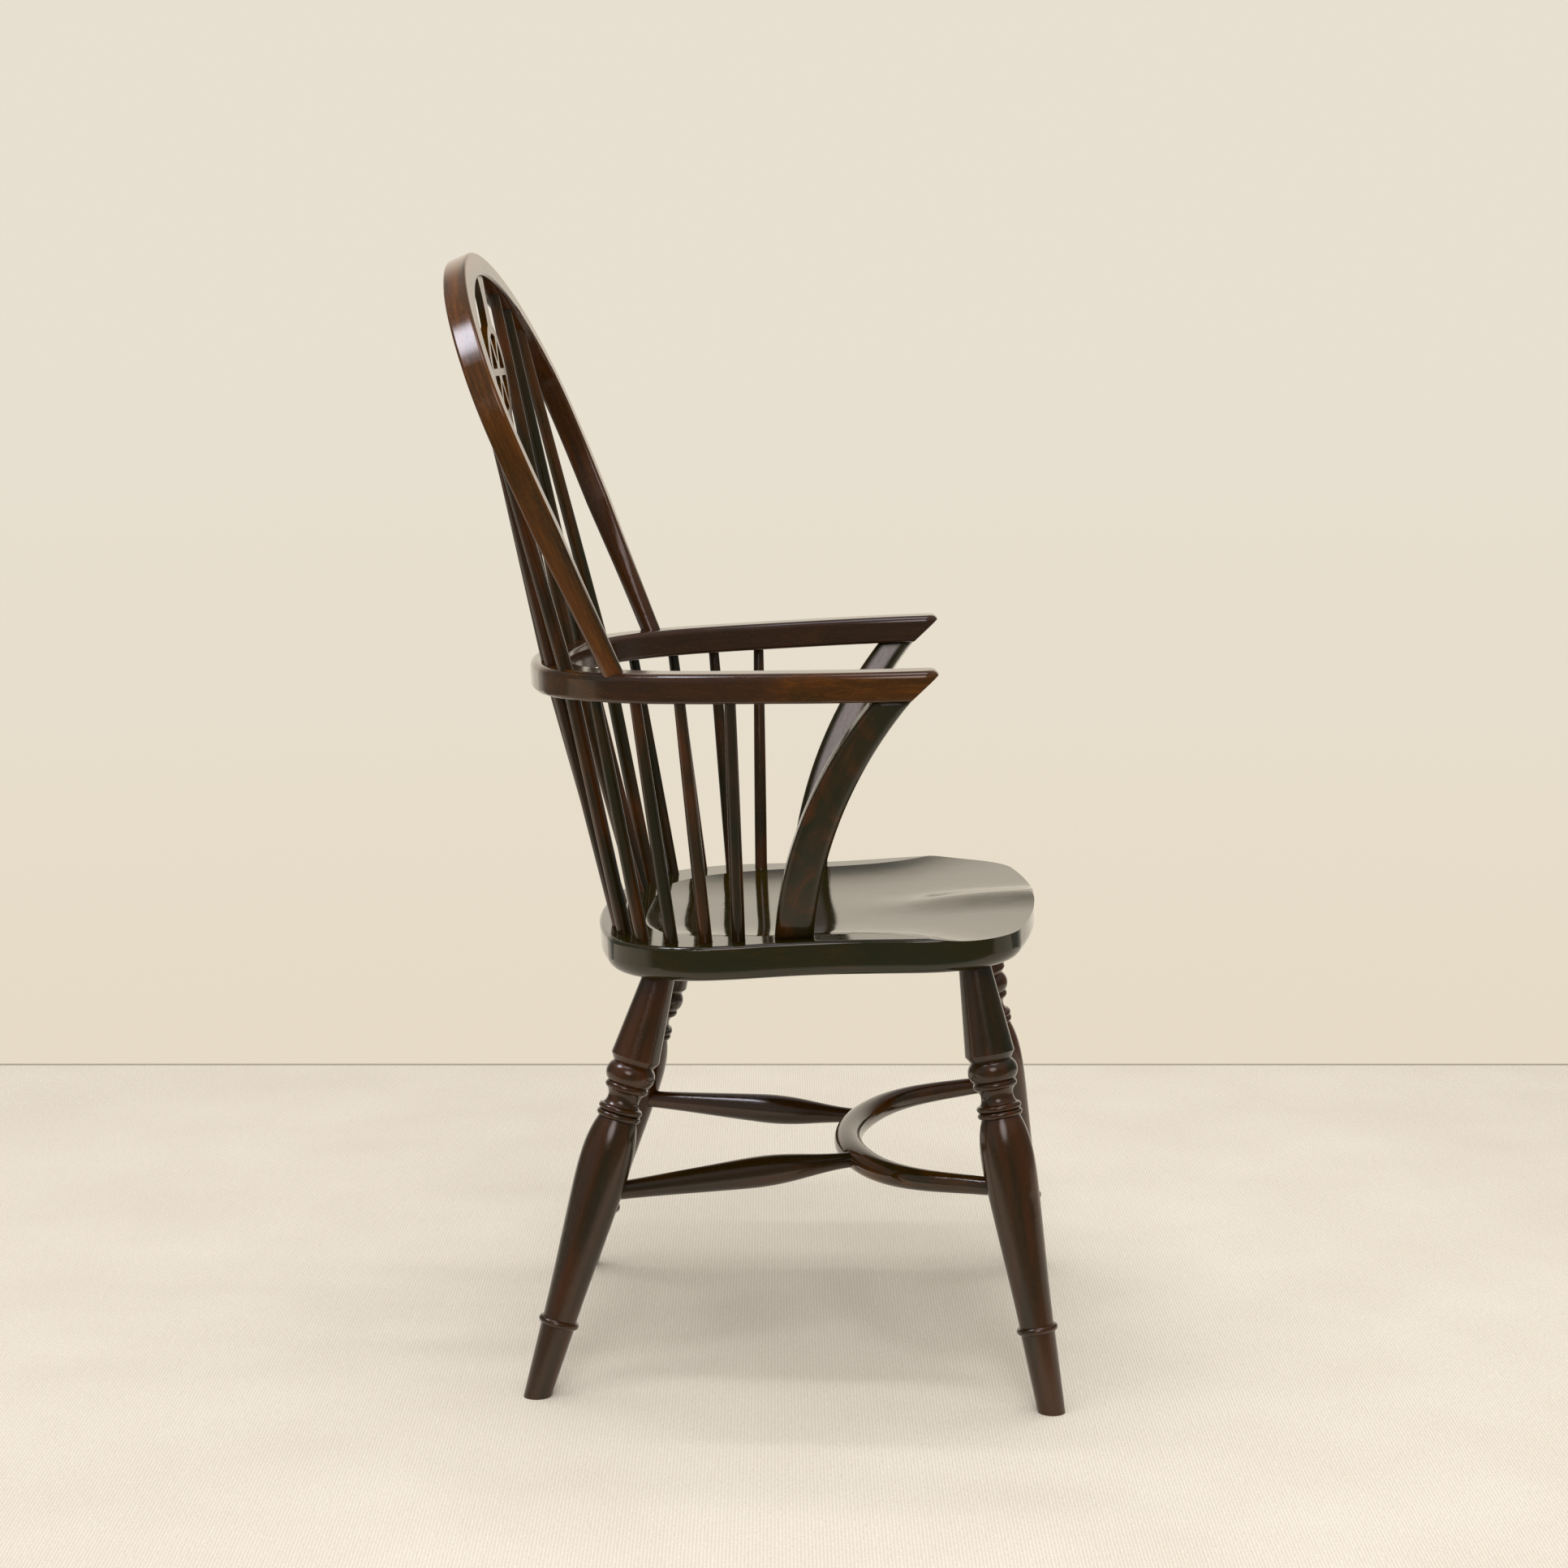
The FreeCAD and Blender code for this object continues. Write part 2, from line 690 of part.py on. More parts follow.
def makeSideStretchers():
    # A stick turned with its swell nearer the bow, from the back leg's axis to the bow's centre line
    cuts = {}
    for sideName, hand in sides.items():
        name = "side_stretcher_" + sideName
        foot, head = legAxis("back", hand)
        back = foot + (head - foot) * (size("side_stretcher_height") / head.z)
        halfSpan = size("side_stretcher_bow_half_span")
        crown = size("bow_crown_radius")
        setback = size("bow_setback") - crown + math.sqrt(crown ** 2 - halfSpan ** 2)
        front = vector(hand * halfSpan, setback, bowPlane(setback))
        axis = (front - back).normalize()
        depth = size("side_stretcher_tenon_depth")
        start = back + axis * (size("leg_swell_radius") - 4 - depth)
        end = front - axis * (size("bow_middle_radius") - depth + 2)
        length = (end - start).Length
        backRadius = size("side_stretcher_back_radius")
        swellRadius = size("side_stretcher_swell_radius")
        frontRadius = size("side_stretcher_front_radius")
        swell = size("side_stretcher_swell_share")
        curve = profileCurve([
            (backRadius, 0),
            (backRadius + 0.35 * (swellRadius - backRadius), length * swell * 0.42),
            (swellRadius - 0.8, length * swell * 0.83),
            (swellRadius, length * swell),
            (swellRadius - 1.6, length * (swell + 0.11)),
            (frontRadius + 1.4, length * (swell + 0.25)),
            (frontRadius, length),
        ])
        body = turnedBody(name, [curve])
        body.Placement = axisPlacement(start, end)
        keep(name, body)
        cuts["back_leg_" + sideName] = coneBetween(start - axis * endGap, start + axis * (depth + 30),
                                                   backRadius + clearance, backRadius + clearance + 0.9)
        cuts["bow_" + sideName] = coneBetween(end - axis * 30, end + axis * endGap,
                                              frontRadius + clearance + 0.6, frontRadius + clearance)
    return cuts


def finishUnderframe():
    makeBow()
    cuts = makeSideStretchers()
    below = Part.makeBox(2000, 2000, 300, vector(-1000, -800, -300))
    pieces = bowRun()
    point, way = pointAlong(pieces, runLength(pieces) - size("bow_leg_gap"))
    fall = math.tan(math.radians(size("bow_fall_angle")))
    radius = size("bow_end_radius") + clearance
    for sideName, hand in sides.items():
        end = vector(hand * point.x, point.y, bowPlane(point.y))
        outward = vector(hand * way.x, way.y, -way.y * fall)
        cuts["front_leg_" + sideName] = coneBetween(end - outward * 40, end + outward * endGap,
                                                    radius + 1.2, radius)
        for place in ("front", "back"):
            name = "%s_leg_%s" % (place, sideName)
            keep(name, cutPiece(name, blanks[name], [below, cuts[name]]))
    bow = blanks["bowed_stretcher"]
    keep("bowed_stretcher", cutPiece("bowed_stretcher", bow, [cuts["bow_right"], cuts["bow_left"]]))


# Splats

def splatPlane(lowPoint, highPoint):
    # Sketch X stays X, sketch Y runs from the low point to the high point
    rise = highPoint - lowPoint
    angle = math.degrees(math.atan2(rise.z, rise.y))
    return FreeCAD.Placement(lowPoint, FreeCAD.Rotation(vector(1, 0, 0), angle))


def upperSplatOutline(length):
    tenon = size("splat_tenon_depth")
    foot = size("splat_foot_half_width")
    waist = size("splat_waist_half_width")
    neck = size("splat_neck_half_width")
    wheel = size("wheel_radius")
    rise = size("wheel_rise")
    crown = size("splat_crown_half_width")
    waistRise = rise - wheel - size("splat_waist_drop")
    lowJoin = math.atan2(-math.sqrt(wheel ** 2 - (waist + 6) ** 2), waist + 6)
    highJoin = math.atan2(math.sqrt(wheel ** 2 - (neck + 3) ** 2), neck + 3)
    lowPoint = vector(wheel * math.cos(lowJoin), rise + wheel * math.sin(lowJoin))
    highPoint = vector(wheel * math.cos(highJoin), rise + wheel * math.sin(highJoin))
    ogee = profileCurve([(foot, 0), (foot - 1, size("splat_foot_height")),
                         ((foot + waist) / 2, waistRise / 2), (waist, waistRise), (lowPoint.x, lowPoint.y)])
    flare = profileCurve([(highPoint.x, highPoint.y), (neck, (highPoint.y + length) / 2), (crown, length)])
    return [
        profileLine((foot, -tenon), (foot, 0)),
        ogee,
        Part.Arc(lowPoint, vector(wheel, rise), highPoint),
        flare,
        profileLine((crown, length), (crown, length + tenon)),
    ]


def outlineBothSides(half):
    # The outline runs up one side, and its mirror image closes it at the foot and at the top
    geometry = list(half)
    for curve in half:
        if isinstance(curve, Part.LineSegment):
            geometry.append(Part.LineSegment(mirrored(curve.EndPoint), mirrored(curve.StartPoint)))
        elif isinstance(curve, Part.BSplineCurve):
            other = Part.BSplineCurve()
            poles = [mirrored(pole) for pole in reversed(curve.getPoles())]
            first, last = curve.FirstParameter, curve.LastParameter
            knots = [first + last - knot for knot in reversed(curve.getKnots())]
            other.buildFromPolesMultsKnots(poles, list(reversed(curve.getMultiplicities())), knots, False,
                                           curve.Degree)
            geometry.append(other)
        else:
            middle = curve.value((curve.FirstParameter + curve.LastParameter) / 2)
            geometry.append(Part.Arc(mirrored(curve.EndPoint), mirrored(middle), mirrored(curve.StartPoint)))
    bottom = half[0].StartPoint
    top = half[-1].EndPoint
    geometry.append(Part.LineSegment(mirrored(bottom), bottom))
    geometry.append(Part.LineSegment(top, mirrored(top)))
    return geometry


def wheelOpening():
    # One opening of the wheel, between two spokes, from the hub to the rim
    rim = size("wheel_radius") - size("wheel_rim_width")
    hub = size("wheel_hub_radius")
    half = size("wheel_spoke_width") / 2
    step = math.pi / size("wheel_spokes")
    rise = size("wheel_rise")

    def spot(radius, angle):
        return vector(radius * math.cos(angle), rise + radius * math.sin(angle))

    outerTurn = step - math.asin(half / rim)
    innerTurn = step - math.asin(half / hub)
    middle = math.pi / 2
    return [
        Part.Arc(spot(rim, middle - outerTurn), spot(rim, middle), spot(rim, middle + outerTurn)),
        Part.LineSegment(spot(rim, middle + outerTurn), spot(hub, middle + innerTurn)),
        Part.Arc(spot(hub, middle + innerTurn), spot(hub, middle), spot(hub, middle - innerTurn)),
        Part.LineSegment(spot(hub, middle - innerTurn), spot(rim, middle - outerTurn)),
    ]


def makeUpperSplat():
    name = "wheel_splat"
    armY = size("arm_rear_setback") - size("arm_width") / 2 - size("splat_arm_advance")
    low = vector(0, armY, armTop(armY))
    inner = size("hoop_rise") - size("hoop_face_width") / 2
    high = hoopPoint(0, inner) - vector(0, size("splat_hoop_advance"))
    length = (high - low).Length
    body = newBody(name)
    sketch = newSketch(body, "XY_Plane", "wheel_splat_outline", outlineBothSides(upperSplatOutline(length)))
    addPad(body, sketch, "wheel_splat_board", "splat_thickness", midplane=True)
    opening = newSketch(body, "XY_Plane", "wheel_opening", wheelOpening())
    pocket = body.newObject("PartDesign::Pocket", "wheel_opening_cut")
    pocket.Profile = opening
    pocket.Type = 1
    pocket.Midplane = True
    document.recompute()
    hub = body.newObject("PartDesign::Line", "wheel_axle_line")
    hub.Placement = FreeCAD.Placement(vector(0, size("wheel_rise")), FreeCAD.Rotation())
    pattern = body.newObject("PartDesign::PolarPattern", "wheel_openings")
    pattern.Originals = [pocket]
    pattern.Axis = (hub, [""])
    pattern.Angle = 360
    pattern.setExpression("Occurrences", "Sizes.wheel_spokes")
    body.Tip = pattern
    document.recompute()
    body.Placement = splatPlane(low, high)
    keep(name, body)
    tenon = size("splat_tenon_depth")
    thick = size("splat_thickness")
    foot = size("splat_foot_half_width")
    crown = size("splat_crown_half_width")
    armCuts.append(mortise(body.Placement, foot, thick, -tenon - endGap, 30))
    hoopCuts.append(mortise(body.Placement, crown, thick, length - 30, tenon + 30 + endGap))


def mortise(place, halfWidth, thick, start, reach):
    box = Part.makeBox(2 * (halfWidth + clearance), reach, thick + 2 * clearance,
                       vector(-halfWidth - clearance, start, -thick / 2 - clearance))
    box.Placement = place.multiply(box.Placement)
    return box


def makeLowerSplat():
    name = "lower_splat"
    seatY = size("lower_splat_foot_setback")
    armY = size("arm_rear_setback") - size("arm_width") / 2 - size("lower_splat_arm_advance")
    low = vector(0, seatY, seatTop(seatY))
    high = vector(0, armY, armUnder(armY))
    length = (high - low).Length
    tenon = size("splat_tenon_depth")
    wide = size("lower_splat_half_width")
    waist = size("lower_splat_waist_half_width")
    half = [
        profileLine((wide, -tenon), (wide, 0)),
        profileCurve([(wide, 0), (wide - 2, length * 0.12), (waist, length * 0.5),
                      (wide - 2, length * 0.88), (wide, length)]),
        profileLine((wide, length), (wide, length + tenon)),
    ]
    body = newBody(name)
    sketch = newSketch(body, "XY_Plane", "lower_splat_outline", outlineBothSides(half))
    addPad(body, sketch, "lower_splat_board", "splat_thickness", midplane=True)
    body.Placement = splatPlane(low, high)
    keep(name, body)
    thick = size("splat_thickness")
    seatCuts.append(mortise(body.Placement, wide, thick, -tenon - endGap, tenon + 30 + endGap))
    armCuts.append(mortise(body.Placement, wide, thick, length - 30, tenon + 30 + endGap))


# Arm posts

def postProfile():
    # Side view in the post's own plane: a swept board, deeper at the foot, hollow in front. Both ends
    # run on past the seat and the arm, which trim them.
    footY = size("post_foot_setback")
    headY = size("post_head_setback")
    height = (armUnder(headY) - seatTop(footY)) / math.cos(postLean())
    spare = 24.0
    sweeps = []
    for share in (0.5, -0.5):
        foot = vector(footY + share * size("post_foot_depth"), 0)
        head = vector(headY + share * size("post_head_depth"), height)
        chord = head - foot
        normal = vector(chord.y, -chord.x).normalize()
        arc = Part.Arc(foot, foot + chord / 2 + normal * size("post_belly"), head)
        low = foot - arc.tangent(arc.FirstParameter)[0] * spare
        high = head + arc.tangent(arc.LastParameter)[0] * spare
        sweeps.append((low, foot, arc, head, high))
    backLow, backFoot, backArc, backHead, backHigh = sweeps[0]
    frontLow, frontFoot, frontArc, frontHead, frontHigh = sweeps[1]
    return [
        Part.LineSegment(backLow, backFoot),
        backArc,
        Part.LineSegment(backHead, backHigh),
        Part.LineSegment(backHigh, frontHigh),
        Part.LineSegment(frontHigh, frontHead),
        frontArc,
        Part.LineSegment(frontFoot, frontLow),
        Part.LineSegment(frontLow, backLow),
    ]


def postLean():
    footY = size("post_foot_setback")
    headY = size("post_head_setback")
    rise = armUnder(headY) - seatTop(footY)
    return math.atan2(size("post_head_half_span") - size("post_foot_half_span"), rise)


def halfSpace(point, angle, above):
    # A large block on one side of a plane that falls towards the back
    box = Part.makeBox(1600, 1600, 400, vector(-800, -800, 0 if above else -400))
    box.Placement = FreeCAD.Placement(point, FreeCAD.Rotation(vector(1, 0, 0), -angle))
    return box


def makePosts():
    for sideName, hand in sides.items():
        name = "arm_post_" + sideName
        body = newBody(name + "_board")
        sketch = newSketch(body, "YZ_Plane", name + "_side_view", postProfile())
        pad = addPad(body, sketch, name + "_thickness", "post_thickness", midplane=True)
        addFillet(body, pad, name + "_edges", "post_edge_radius",
                  lambda edge: abs(abs(edge.CenterOfMass.x) - size("post_thickness") / 2) < 0.01)
        footY = size("post_foot_setback")
        headY = size("post_head_setback")
        footPoint = vector(hand * size("post_foot_half_span"), 0, seatTop(footY))
        lean = math.degrees(postLean()) * hand
        body.Placement = FreeCAD.Placement(footPoint, FreeCAD.Rotation(vector(0, 1, 0), lean))
        below = halfSpace(vector(0, 0, seatTop(0)), size("seat_fall_angle"), False)
        above = halfSpace(vector(0, 0, armUnder(0)), size("arm_fall_angle"), True)
        shaped = cutPiece(name + "_shaped", body, [below, above])
        # Round tenons run along the lean of the board
        leanWay = vector(math.sin(math.radians(lean)), 0, math.cos(math.radians(lean)))
        radius = size("post_tenon_radius")
        depth = size("post_tenon_depth")
        foot = vector(footPoint.x, footY, seatTop(footY))
        head = vector(hand * size("post_head_half_span"), headY, armUnder(headY))
        tenons = document.addObject("Part::Feature", name + "_tenons")
        tenons.Shape = Part.makeCompound([
            coneBetween(foot - leanWay * depth, foot + leanWay * 12, radius, radius),
            coneBetween(head - leanWay * 12, head + leanWay * depth, radius, radius),
        ])
        joined = document.addObject("Part::MultiFuse", name)
        joined.Shapes = [shaped, tenons]
        joined.Refine = True
        document.recompute()
        keep(name, joined)
        seatCuts.append(coneBetween(foot - leanWay * (depth + endGap), foot + leanWay * 12,
                                    radius + clearance, radius + clearance))
        armCuts.append(coneBetween(head - leanWay * 12, head + leanWay * (depth + endGap),
                                   radius + clearance, radius + clearance))


# Hoop

def hoopSection(halfWide, halfDeep, corner):
    # Eight edges, so that it blends into a round section of eight arcs
    points = []
    edges = []
    centres = [(halfWide - corner, halfDeep - corner), (corner - halfWide, halfDeep - corner),
               (corner - halfWide, corner - halfDeep), (halfWide - corner, corner - halfDeep)]
    for index, (across, deep) in enumerate(centres):
        first = math.radians(index * 90)
        spots = [vector(across + corner * math.cos(first + turn), deep + corner * math.sin(first + turn))
                 for turn in (0, math.pi / 4, math.pi / 2)]
        points.append(spots)
    for index in range(4):
        spots = points[index]
        following = points[(index + 1) % 4][0]
        edges.append(Part.Arc(spots[0], spots[1], spots[2]).toShape())
        if halfWide > corner + 0.01 or halfDeep > corner + 0.01:
            edges.append(Part.LineSegment(spots[2], following).toShape())
    return Part.Wire(edges)


def roundSection(radius, halfWide, halfDeep, corner):
    # A circle split at the angles of the corners of the upper section
    flat = math.atan2(halfDeep - corner, halfWide)
    steep = math.atan2(halfDeep, halfWide - corner)
    angles = []
    for quarter in (0, 1, 2, 3):
        if quarter % 2 == 0:
            angles += [quarter * math.pi / 2 + flat, quarter * math.pi / 2 + steep]
        else:
            angles += [(quarter + 1) * math.pi / 2 - steep, (quarter + 1) * math.pi / 2 - flat]
    edges = []
    for index, angle in enumerate(angles):
        following = angles[(index + 1) % 8] + (2 * math.pi if index == 7 else 0)
        spots = [vector(radius * math.cos(turn), radius * math.sin(turn))
                 for turn in (angle, (angle + following) / 2, following)]
        edges.append(Part.Arc(*spots).toShape())
    return Part.Wire(edges)


def hoopFootLine():
    # Tangent from the foot to the flank arc: the foot's angle, and where the arc begins
    flank = size("hoop_flank_radius")
    centre = (size("hoop_half_width") - flank, size("hoop_widest_rise"))
    reachX = size("hoop_foot_half_span") - centre[0]
    reachY = centre[1]
    distance = math.hypot(reachX, reachY)
    straight = math.sqrt(distance ** 2 - flank ** 2)
    angle = math.atan2(reachX, reachY) - math.atan2(flank, straight)
    return -angle, straight


def makeHoop():
    name = "back_hoop"
    footAngle, straight = hoopFootLine()
    halfWide = size("hoop_face_width") / 2
    halfDeep = size("hoop_depth") / 2
    corner = size("hoop_edge_radius")
    taper = size("hoop_foot_taper_length")
    tenon = size("hoop_tenon_depth")
    footLength = size("hoop_foot_length")
    wayX = math.sin(footAngle)
    wayY = math.cos(footAngle)
    footX = size("hoop_foot_half_span")

    def along(distance):
        return vector(footX + wayX * distance, wayY * distance)

    def around(centre, radius, degrees):
        # Degrees from straight up towards the side
        angle = math.radians(degrees)
        return centre + vector(radius * math.sin(angle), radius * math.cos(angle))

    # The left half of the middle line, from the end of the foot's taper up to the crown
    flank = size("hoop_flank_radius")
    flankCentre = vector(size("hoop_half_width") - flank, size("hoop_widest_rise"))
    bends = [(flank, flankCentre.x, flankCentre.y, 90, 90 + math.degrees(footAngle))] + hoopArcs()[::-1]
    path = [(along(taper), None, along(straight))]
    for radius, centreX, centreY, first, last in bends:
        centre = vector(centreX, centreY)
        path.append((path[-1][2], around(centre, radius, (first + last) / 2), around(centre, radius, first)))
    otherSide = [(mirrored(end), None if middle is None else mirrored(middle), mirrored(start))
                 for start, middle, end in reversed(path)]
    spine = Part.Wire([edge.toShape() for edge in runEdges(path + otherSide)])

    def atFoot(section, distance, hand):
        # Section X lies across the face of the hoop, section Y through its depth
        point = along(distance)
        axis = vector(hand * wayX, wayY)
        across = vector(hand * wayY, -wayX)
        matrix = FreeCAD.Matrix(across.x, 0, axis.x, hand * point.x,
                                across.y, 0, axis.y, point.y,
                                0, 1, 0, 0,
                                0, 0, 0, 1)
        placed = section.copy()
        placed.Placement = FreeCAD.Placement(matrix)
        return placed

    square = hoopSection(halfWide, halfDeep, corner)
    sweep = spine.makePipeShell([atFoot(square, taper, 1)], True, False)
    solids = [sweep]
    for hand in (1, -1):
        circle = roundSection(size("hoop_foot_radius"), halfWide, halfDeep, corner)
        lower = atFoot(circle, footLength, hand)
        upper = atFoot(square, taper, hand)
        solids.append(Part.makeLoft([lower, upper], True, False))
        foot = along(-tenon)
        top = along(footLength)
        solids.append(coneBetween(vector(hand * foot.x, foot.y), vector(hand * top.x, top.y),
                                  size("hoop_foot_radius"), size("hoop_foot_radius")))
    blank = document.addObject("Part::Feature", name + "_blank")
    blank.Shape = solids[0].fuse(solids[1:]).removeSplitter()
    blank.Placement = rakedPlacement()
    document.recompute()
    for hand in (1, -1):
        low = along(-tenon - endGap)
        high = along(footLength)
        foot = rakedPlacement().multVec(vector(hand * low.x, low.y))
        top = rakedPlacement().multVec(vector(hand * high.x, high.y))
        radius = size("hoop_foot_radius") + clearance
        armCuts.append(coneBetween(foot, top, radius, radius))
    keep(name, cutPiece(name, blank, hoopCuts))


# Arm bow

def armRun(offset):
    # Plan line of the left half, from the middle of the back to the tip, offset outwards
    start = vector(0, size("arm_rear_setback") - size("arm_width") / 2 + offset)
    bends = [(size("arm_%s_radius" % part) + offset, size("arm_%s_turn" % part))
             for part in ("crown", "shoulder", "quarter", "flank", "forepart")]
    bends.insert(4, (size("arm_straight_length"), None))
    return arcRun(start, 0, bends)


def makeArmBow():
    name = "arm_bow"
    half = size("arm_width") / 2
    outer = armRun(half)
    inner = armRun(-half)
    outerTip = outer[-1][2]
    innerTip = inner[-1][2]
    geometry = runEdges(bothHalves(outer)) + runEdges(bothHalves(inner))
    geometry.append(Part.LineSegment(outerTip, innerTip))
    geometry.append(Part.LineSegment(mirrored(innerTip), mirrored(outerTip)))
    body = newBody(name + "_bent")
    sketch = newSketch(body, "XY_Plane", "arm_bow_plan", geometry)
    pad = addPad(body, sketch, "arm_bow_thickness", "arm_thickness")
    pad.Reversed = True
    document.recompute()
    tipY = min(outerTip.y, innerTip.y)
    thick = size("arm_thickness")
    corners = addFillet(body, pad, "arm_tip_corners", "arm_tip_corner_radius",
                        lambda edge: edge.BoundBox.ZLength > thick - 0.01 and edge.BoundBox.YMax < tipY + 20)
    upper = addFillet(body, corners, "arm_bow_upper_edges", "arm_upper_edge_radius",
                      lambda edge: edge.BoundBox.ZMin > -0.01)
    lower = addFillet(body, upper, "arm_bow_lower_edges", "arm_lower_edge_radius",
                      lambda edge: edge.BoundBox.ZMax < 0.01 - thick)
    # The end grain is cut back under the tip, in line with the front of the post
    bevel = size("arm_tip_bevel")
    reach = vector(tipY - 30, -thick - 3)
    mouth = vector(tipY - 3, -2)
    middle = vector(tipY + bevel * 0.42, -thick * 0.5)
    heel = vector(tipY + bevel + 4, -thick - 3)
    side = [
        Part.Arc(mouth, middle, heel),
        Part.LineSegment(heel, reach),
        Part.LineSegment(reach, vector(reach.x, mouth.y)),
        Part.LineSegment(vector(reach.x, mouth.y), mouth),
    ]
    bevelSketch = newSketch(body, "YZ_Plane", "arm_tip_side_view", side)
    pocket = body.newObject("PartDesign::Pocket", "arm_tip_cut")
    pocket.Profile = bevelSketch
    pocket.Type = 1
    pocket.Midplane = True
    document.recompute()
    plane = FreeCAD.Rotation(vector(1, 0, 0), -size("arm_fall_angle"))
    body.Placement = FreeCAD.Placement(vector(0, 0, armTop(0)), plane)
    keep(name, cutPiece(name, body, armCuts))


# Seat

def seatHalf():
    # Plan of the left half from the rear to the front: crown, corner, waist, flank and front corner
    corner = size("seat_rear_corner_radius")
    crownTurn = size("seat_rear_turn")
    frontTurn = size("seat_front_turn")
    crownSine = math.sin(math.radians(crownTurn))
    crown = (size("seat_rear_half_width") - corner * (1 - crownSine)) / crownSine
    waistTurn = size("seat_waist_angle")
    bends = [
        (crown, crownTurn),
        (corner, 90 - crownTurn),
        (size("seat_waist_radius"), waistTurn / 2),
        (size("seat_waist_radius"), -waistTurn),
        (0, None),
        (size("seat_flank_radius"), waistTurn / 2),
        (size("seat_front_corner_radius"), 90 - frontTurn),
    ]

    def run(flank):
        bends[4] = (flank, None)
        pieces = arcRun(vector(0, size("seat_depth")), 0, bends)
        last = pieces[-1][2]
        radius = last.x / math.sin(math.radians(frontTurn))
        return pieces, radius, last.y - radius * (1 - math.cos(math.radians(frontTurn)))

    # The straight part of the flank takes up what is left of the depth of the seat
    spare = run(10)[2]
    slope = spare - run(11)[2]
    pieces, radius, left = run(10 + spare / slope)
    foot = pieces[-1][2]
    front = radius * math.cos(math.radians(frontTurn / 2))
    middle = vector(radius * math.sin(math.radians(frontTurn / 2)), left + radius - front)
    pieces.append((foot, middle, vector(0, left)))
    return pieces


def saddle(x, y):
    # Depth of the hollow below the plane of the rim. It is negative where the cutter runs out above it.
    rim = size("saddle_rim_width")
    middle = size("seat_depth") * size("saddle_middle_share")
    rear = size("seat_depth") - rim - size("saddle_rear_margin")
    # The hollow widens and gets shallower towards its mouth at the front
    mouth = 1 / (1 + math.exp((y - size("saddle_mouth_setback")) / size("saddle_mouth_blend")))
    halfWide = size("seat_rear_half_width") - rim + size("saddle_mouth_widening") * mouth
    across = abs(x) / halfWide
    back = max(0.0, (y - middle) / (rear - middle))
    bowl = size("saddle_steepness") * (1.0 - (across ** 4 + back ** 4) ** 0.75)
    bowl = bowl / (1 + abs(bowl) ** 3) ** (1 / 3)
    depth = size("saddle_depth") * (1.0 - size("saddle_mouth_shallowing") * mouth)
    pommel = math.exp(-(x / size("pommel_half_width")) ** 2)
    pommel = pommel / (1 + math.exp((y - size("pommel_setback")) / size("pommel_blend")))
    return depth * bowl * (1.0 - size("pommel_share") * pommel)


def makeSeat():
    name = "seat"
    body = newBody(name + "_plank")
    sketch = newSketch(body, "XY_Plane", "seat_plan", runEdges(bothHalves(seatHalf())))
    pad = addPad(body, sketch, "seat_plank", "seat_thickness")
    pad.Reversed = True
    document.recompute()
    low = -size("seat_thickness")
    fillet = addFillet(body, pad, "seat_lower_edge", "seat_lower_edge_radius",
                       lambda edge: edge.BoundBox.ZMax < low + 0.01)
    addFillet(body, fillet, "seat_upper_edge", "seat_upper_edge_radius",
              lambda edge: edge.BoundBox.ZMin > -0.01)
    body.Placement = FreeCAD.Placement(vector(0, 0, seatTop(0)),
                                       FreeCAD.Rotation(vector(1, 0, 0), -size("seat_fall_angle")))
    columns = 21
    rows = 19
    reachX = size("seat_rear_half_width") + 40
    reachY = size("seat_depth") + 30
    grid = []
    for row in range(rows):
        y = -30 + (reachY + 30) * row / (rows - 1)
        line = []
        for column in range(columns):
            x = -reachX + 2 * reachX * column / (columns - 1)
            line.append(vector(x, y, -saddle(x, y)))
        grid.append(line)
    surface = Part.BSplineSurface()
    surface.interpolate(grid)
    hollow = surface.toShape().extrude(vector(0, 0, 60))
    hollow.Placement = body.Placement
    keep(name, cutPiece(name, body, [hollow] + seatCuts))


makeSpindles()
makeLegs()
finishUnderframe()
makeUpperSplat()
makeLowerSplat()
makePosts()
makeHoop()
makeArmBow()
makeSeat()

document.recompute()
# The feet reach furthest forward and down, and the top of the hoop furthest back
extremes = []
for name in ("front_leg_left", "front_leg_right", "back_hoop"):
    extremes += finished[name].Shape.tessellate(0.05)[0]
frontmost = min(point.y for point in extremes)
rearmost = max(point.y for point in extremes)
shift = vector(0, -(frontmost + rearmost) / 2, -min(point.z for point in extremes))
for piece in finished.values():
    piece.Placement = FreeCAD.Placement(shift, FreeCAD.Rotation()).multiply(piece.Placement)
document.recompute()

faults = [item.Name for item in document.Objects if "Invalid" in item.State or "Error" in item.State]
for name, piece in finished.items():
    shape = piece.Shape
    if shape.isNull() or not shape.isValid():
        faults.append(name + " shape")
    if len(shape.Solids) != 1:
        faults.append("%s has %d solids" % (name, len(shape.Solids)))
if faults:
    raise RuntimeError("faulty objects: " + ", ".join(faults))
for name, piece in finished.items():
    piece.Shape.exportStep("parts/%s.step" % name)
print("pieces", len(finished), "shift", shift)
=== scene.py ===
import math
import random

import bmesh
import bpy
import numpy as np
from mathutils import Matrix, Vector


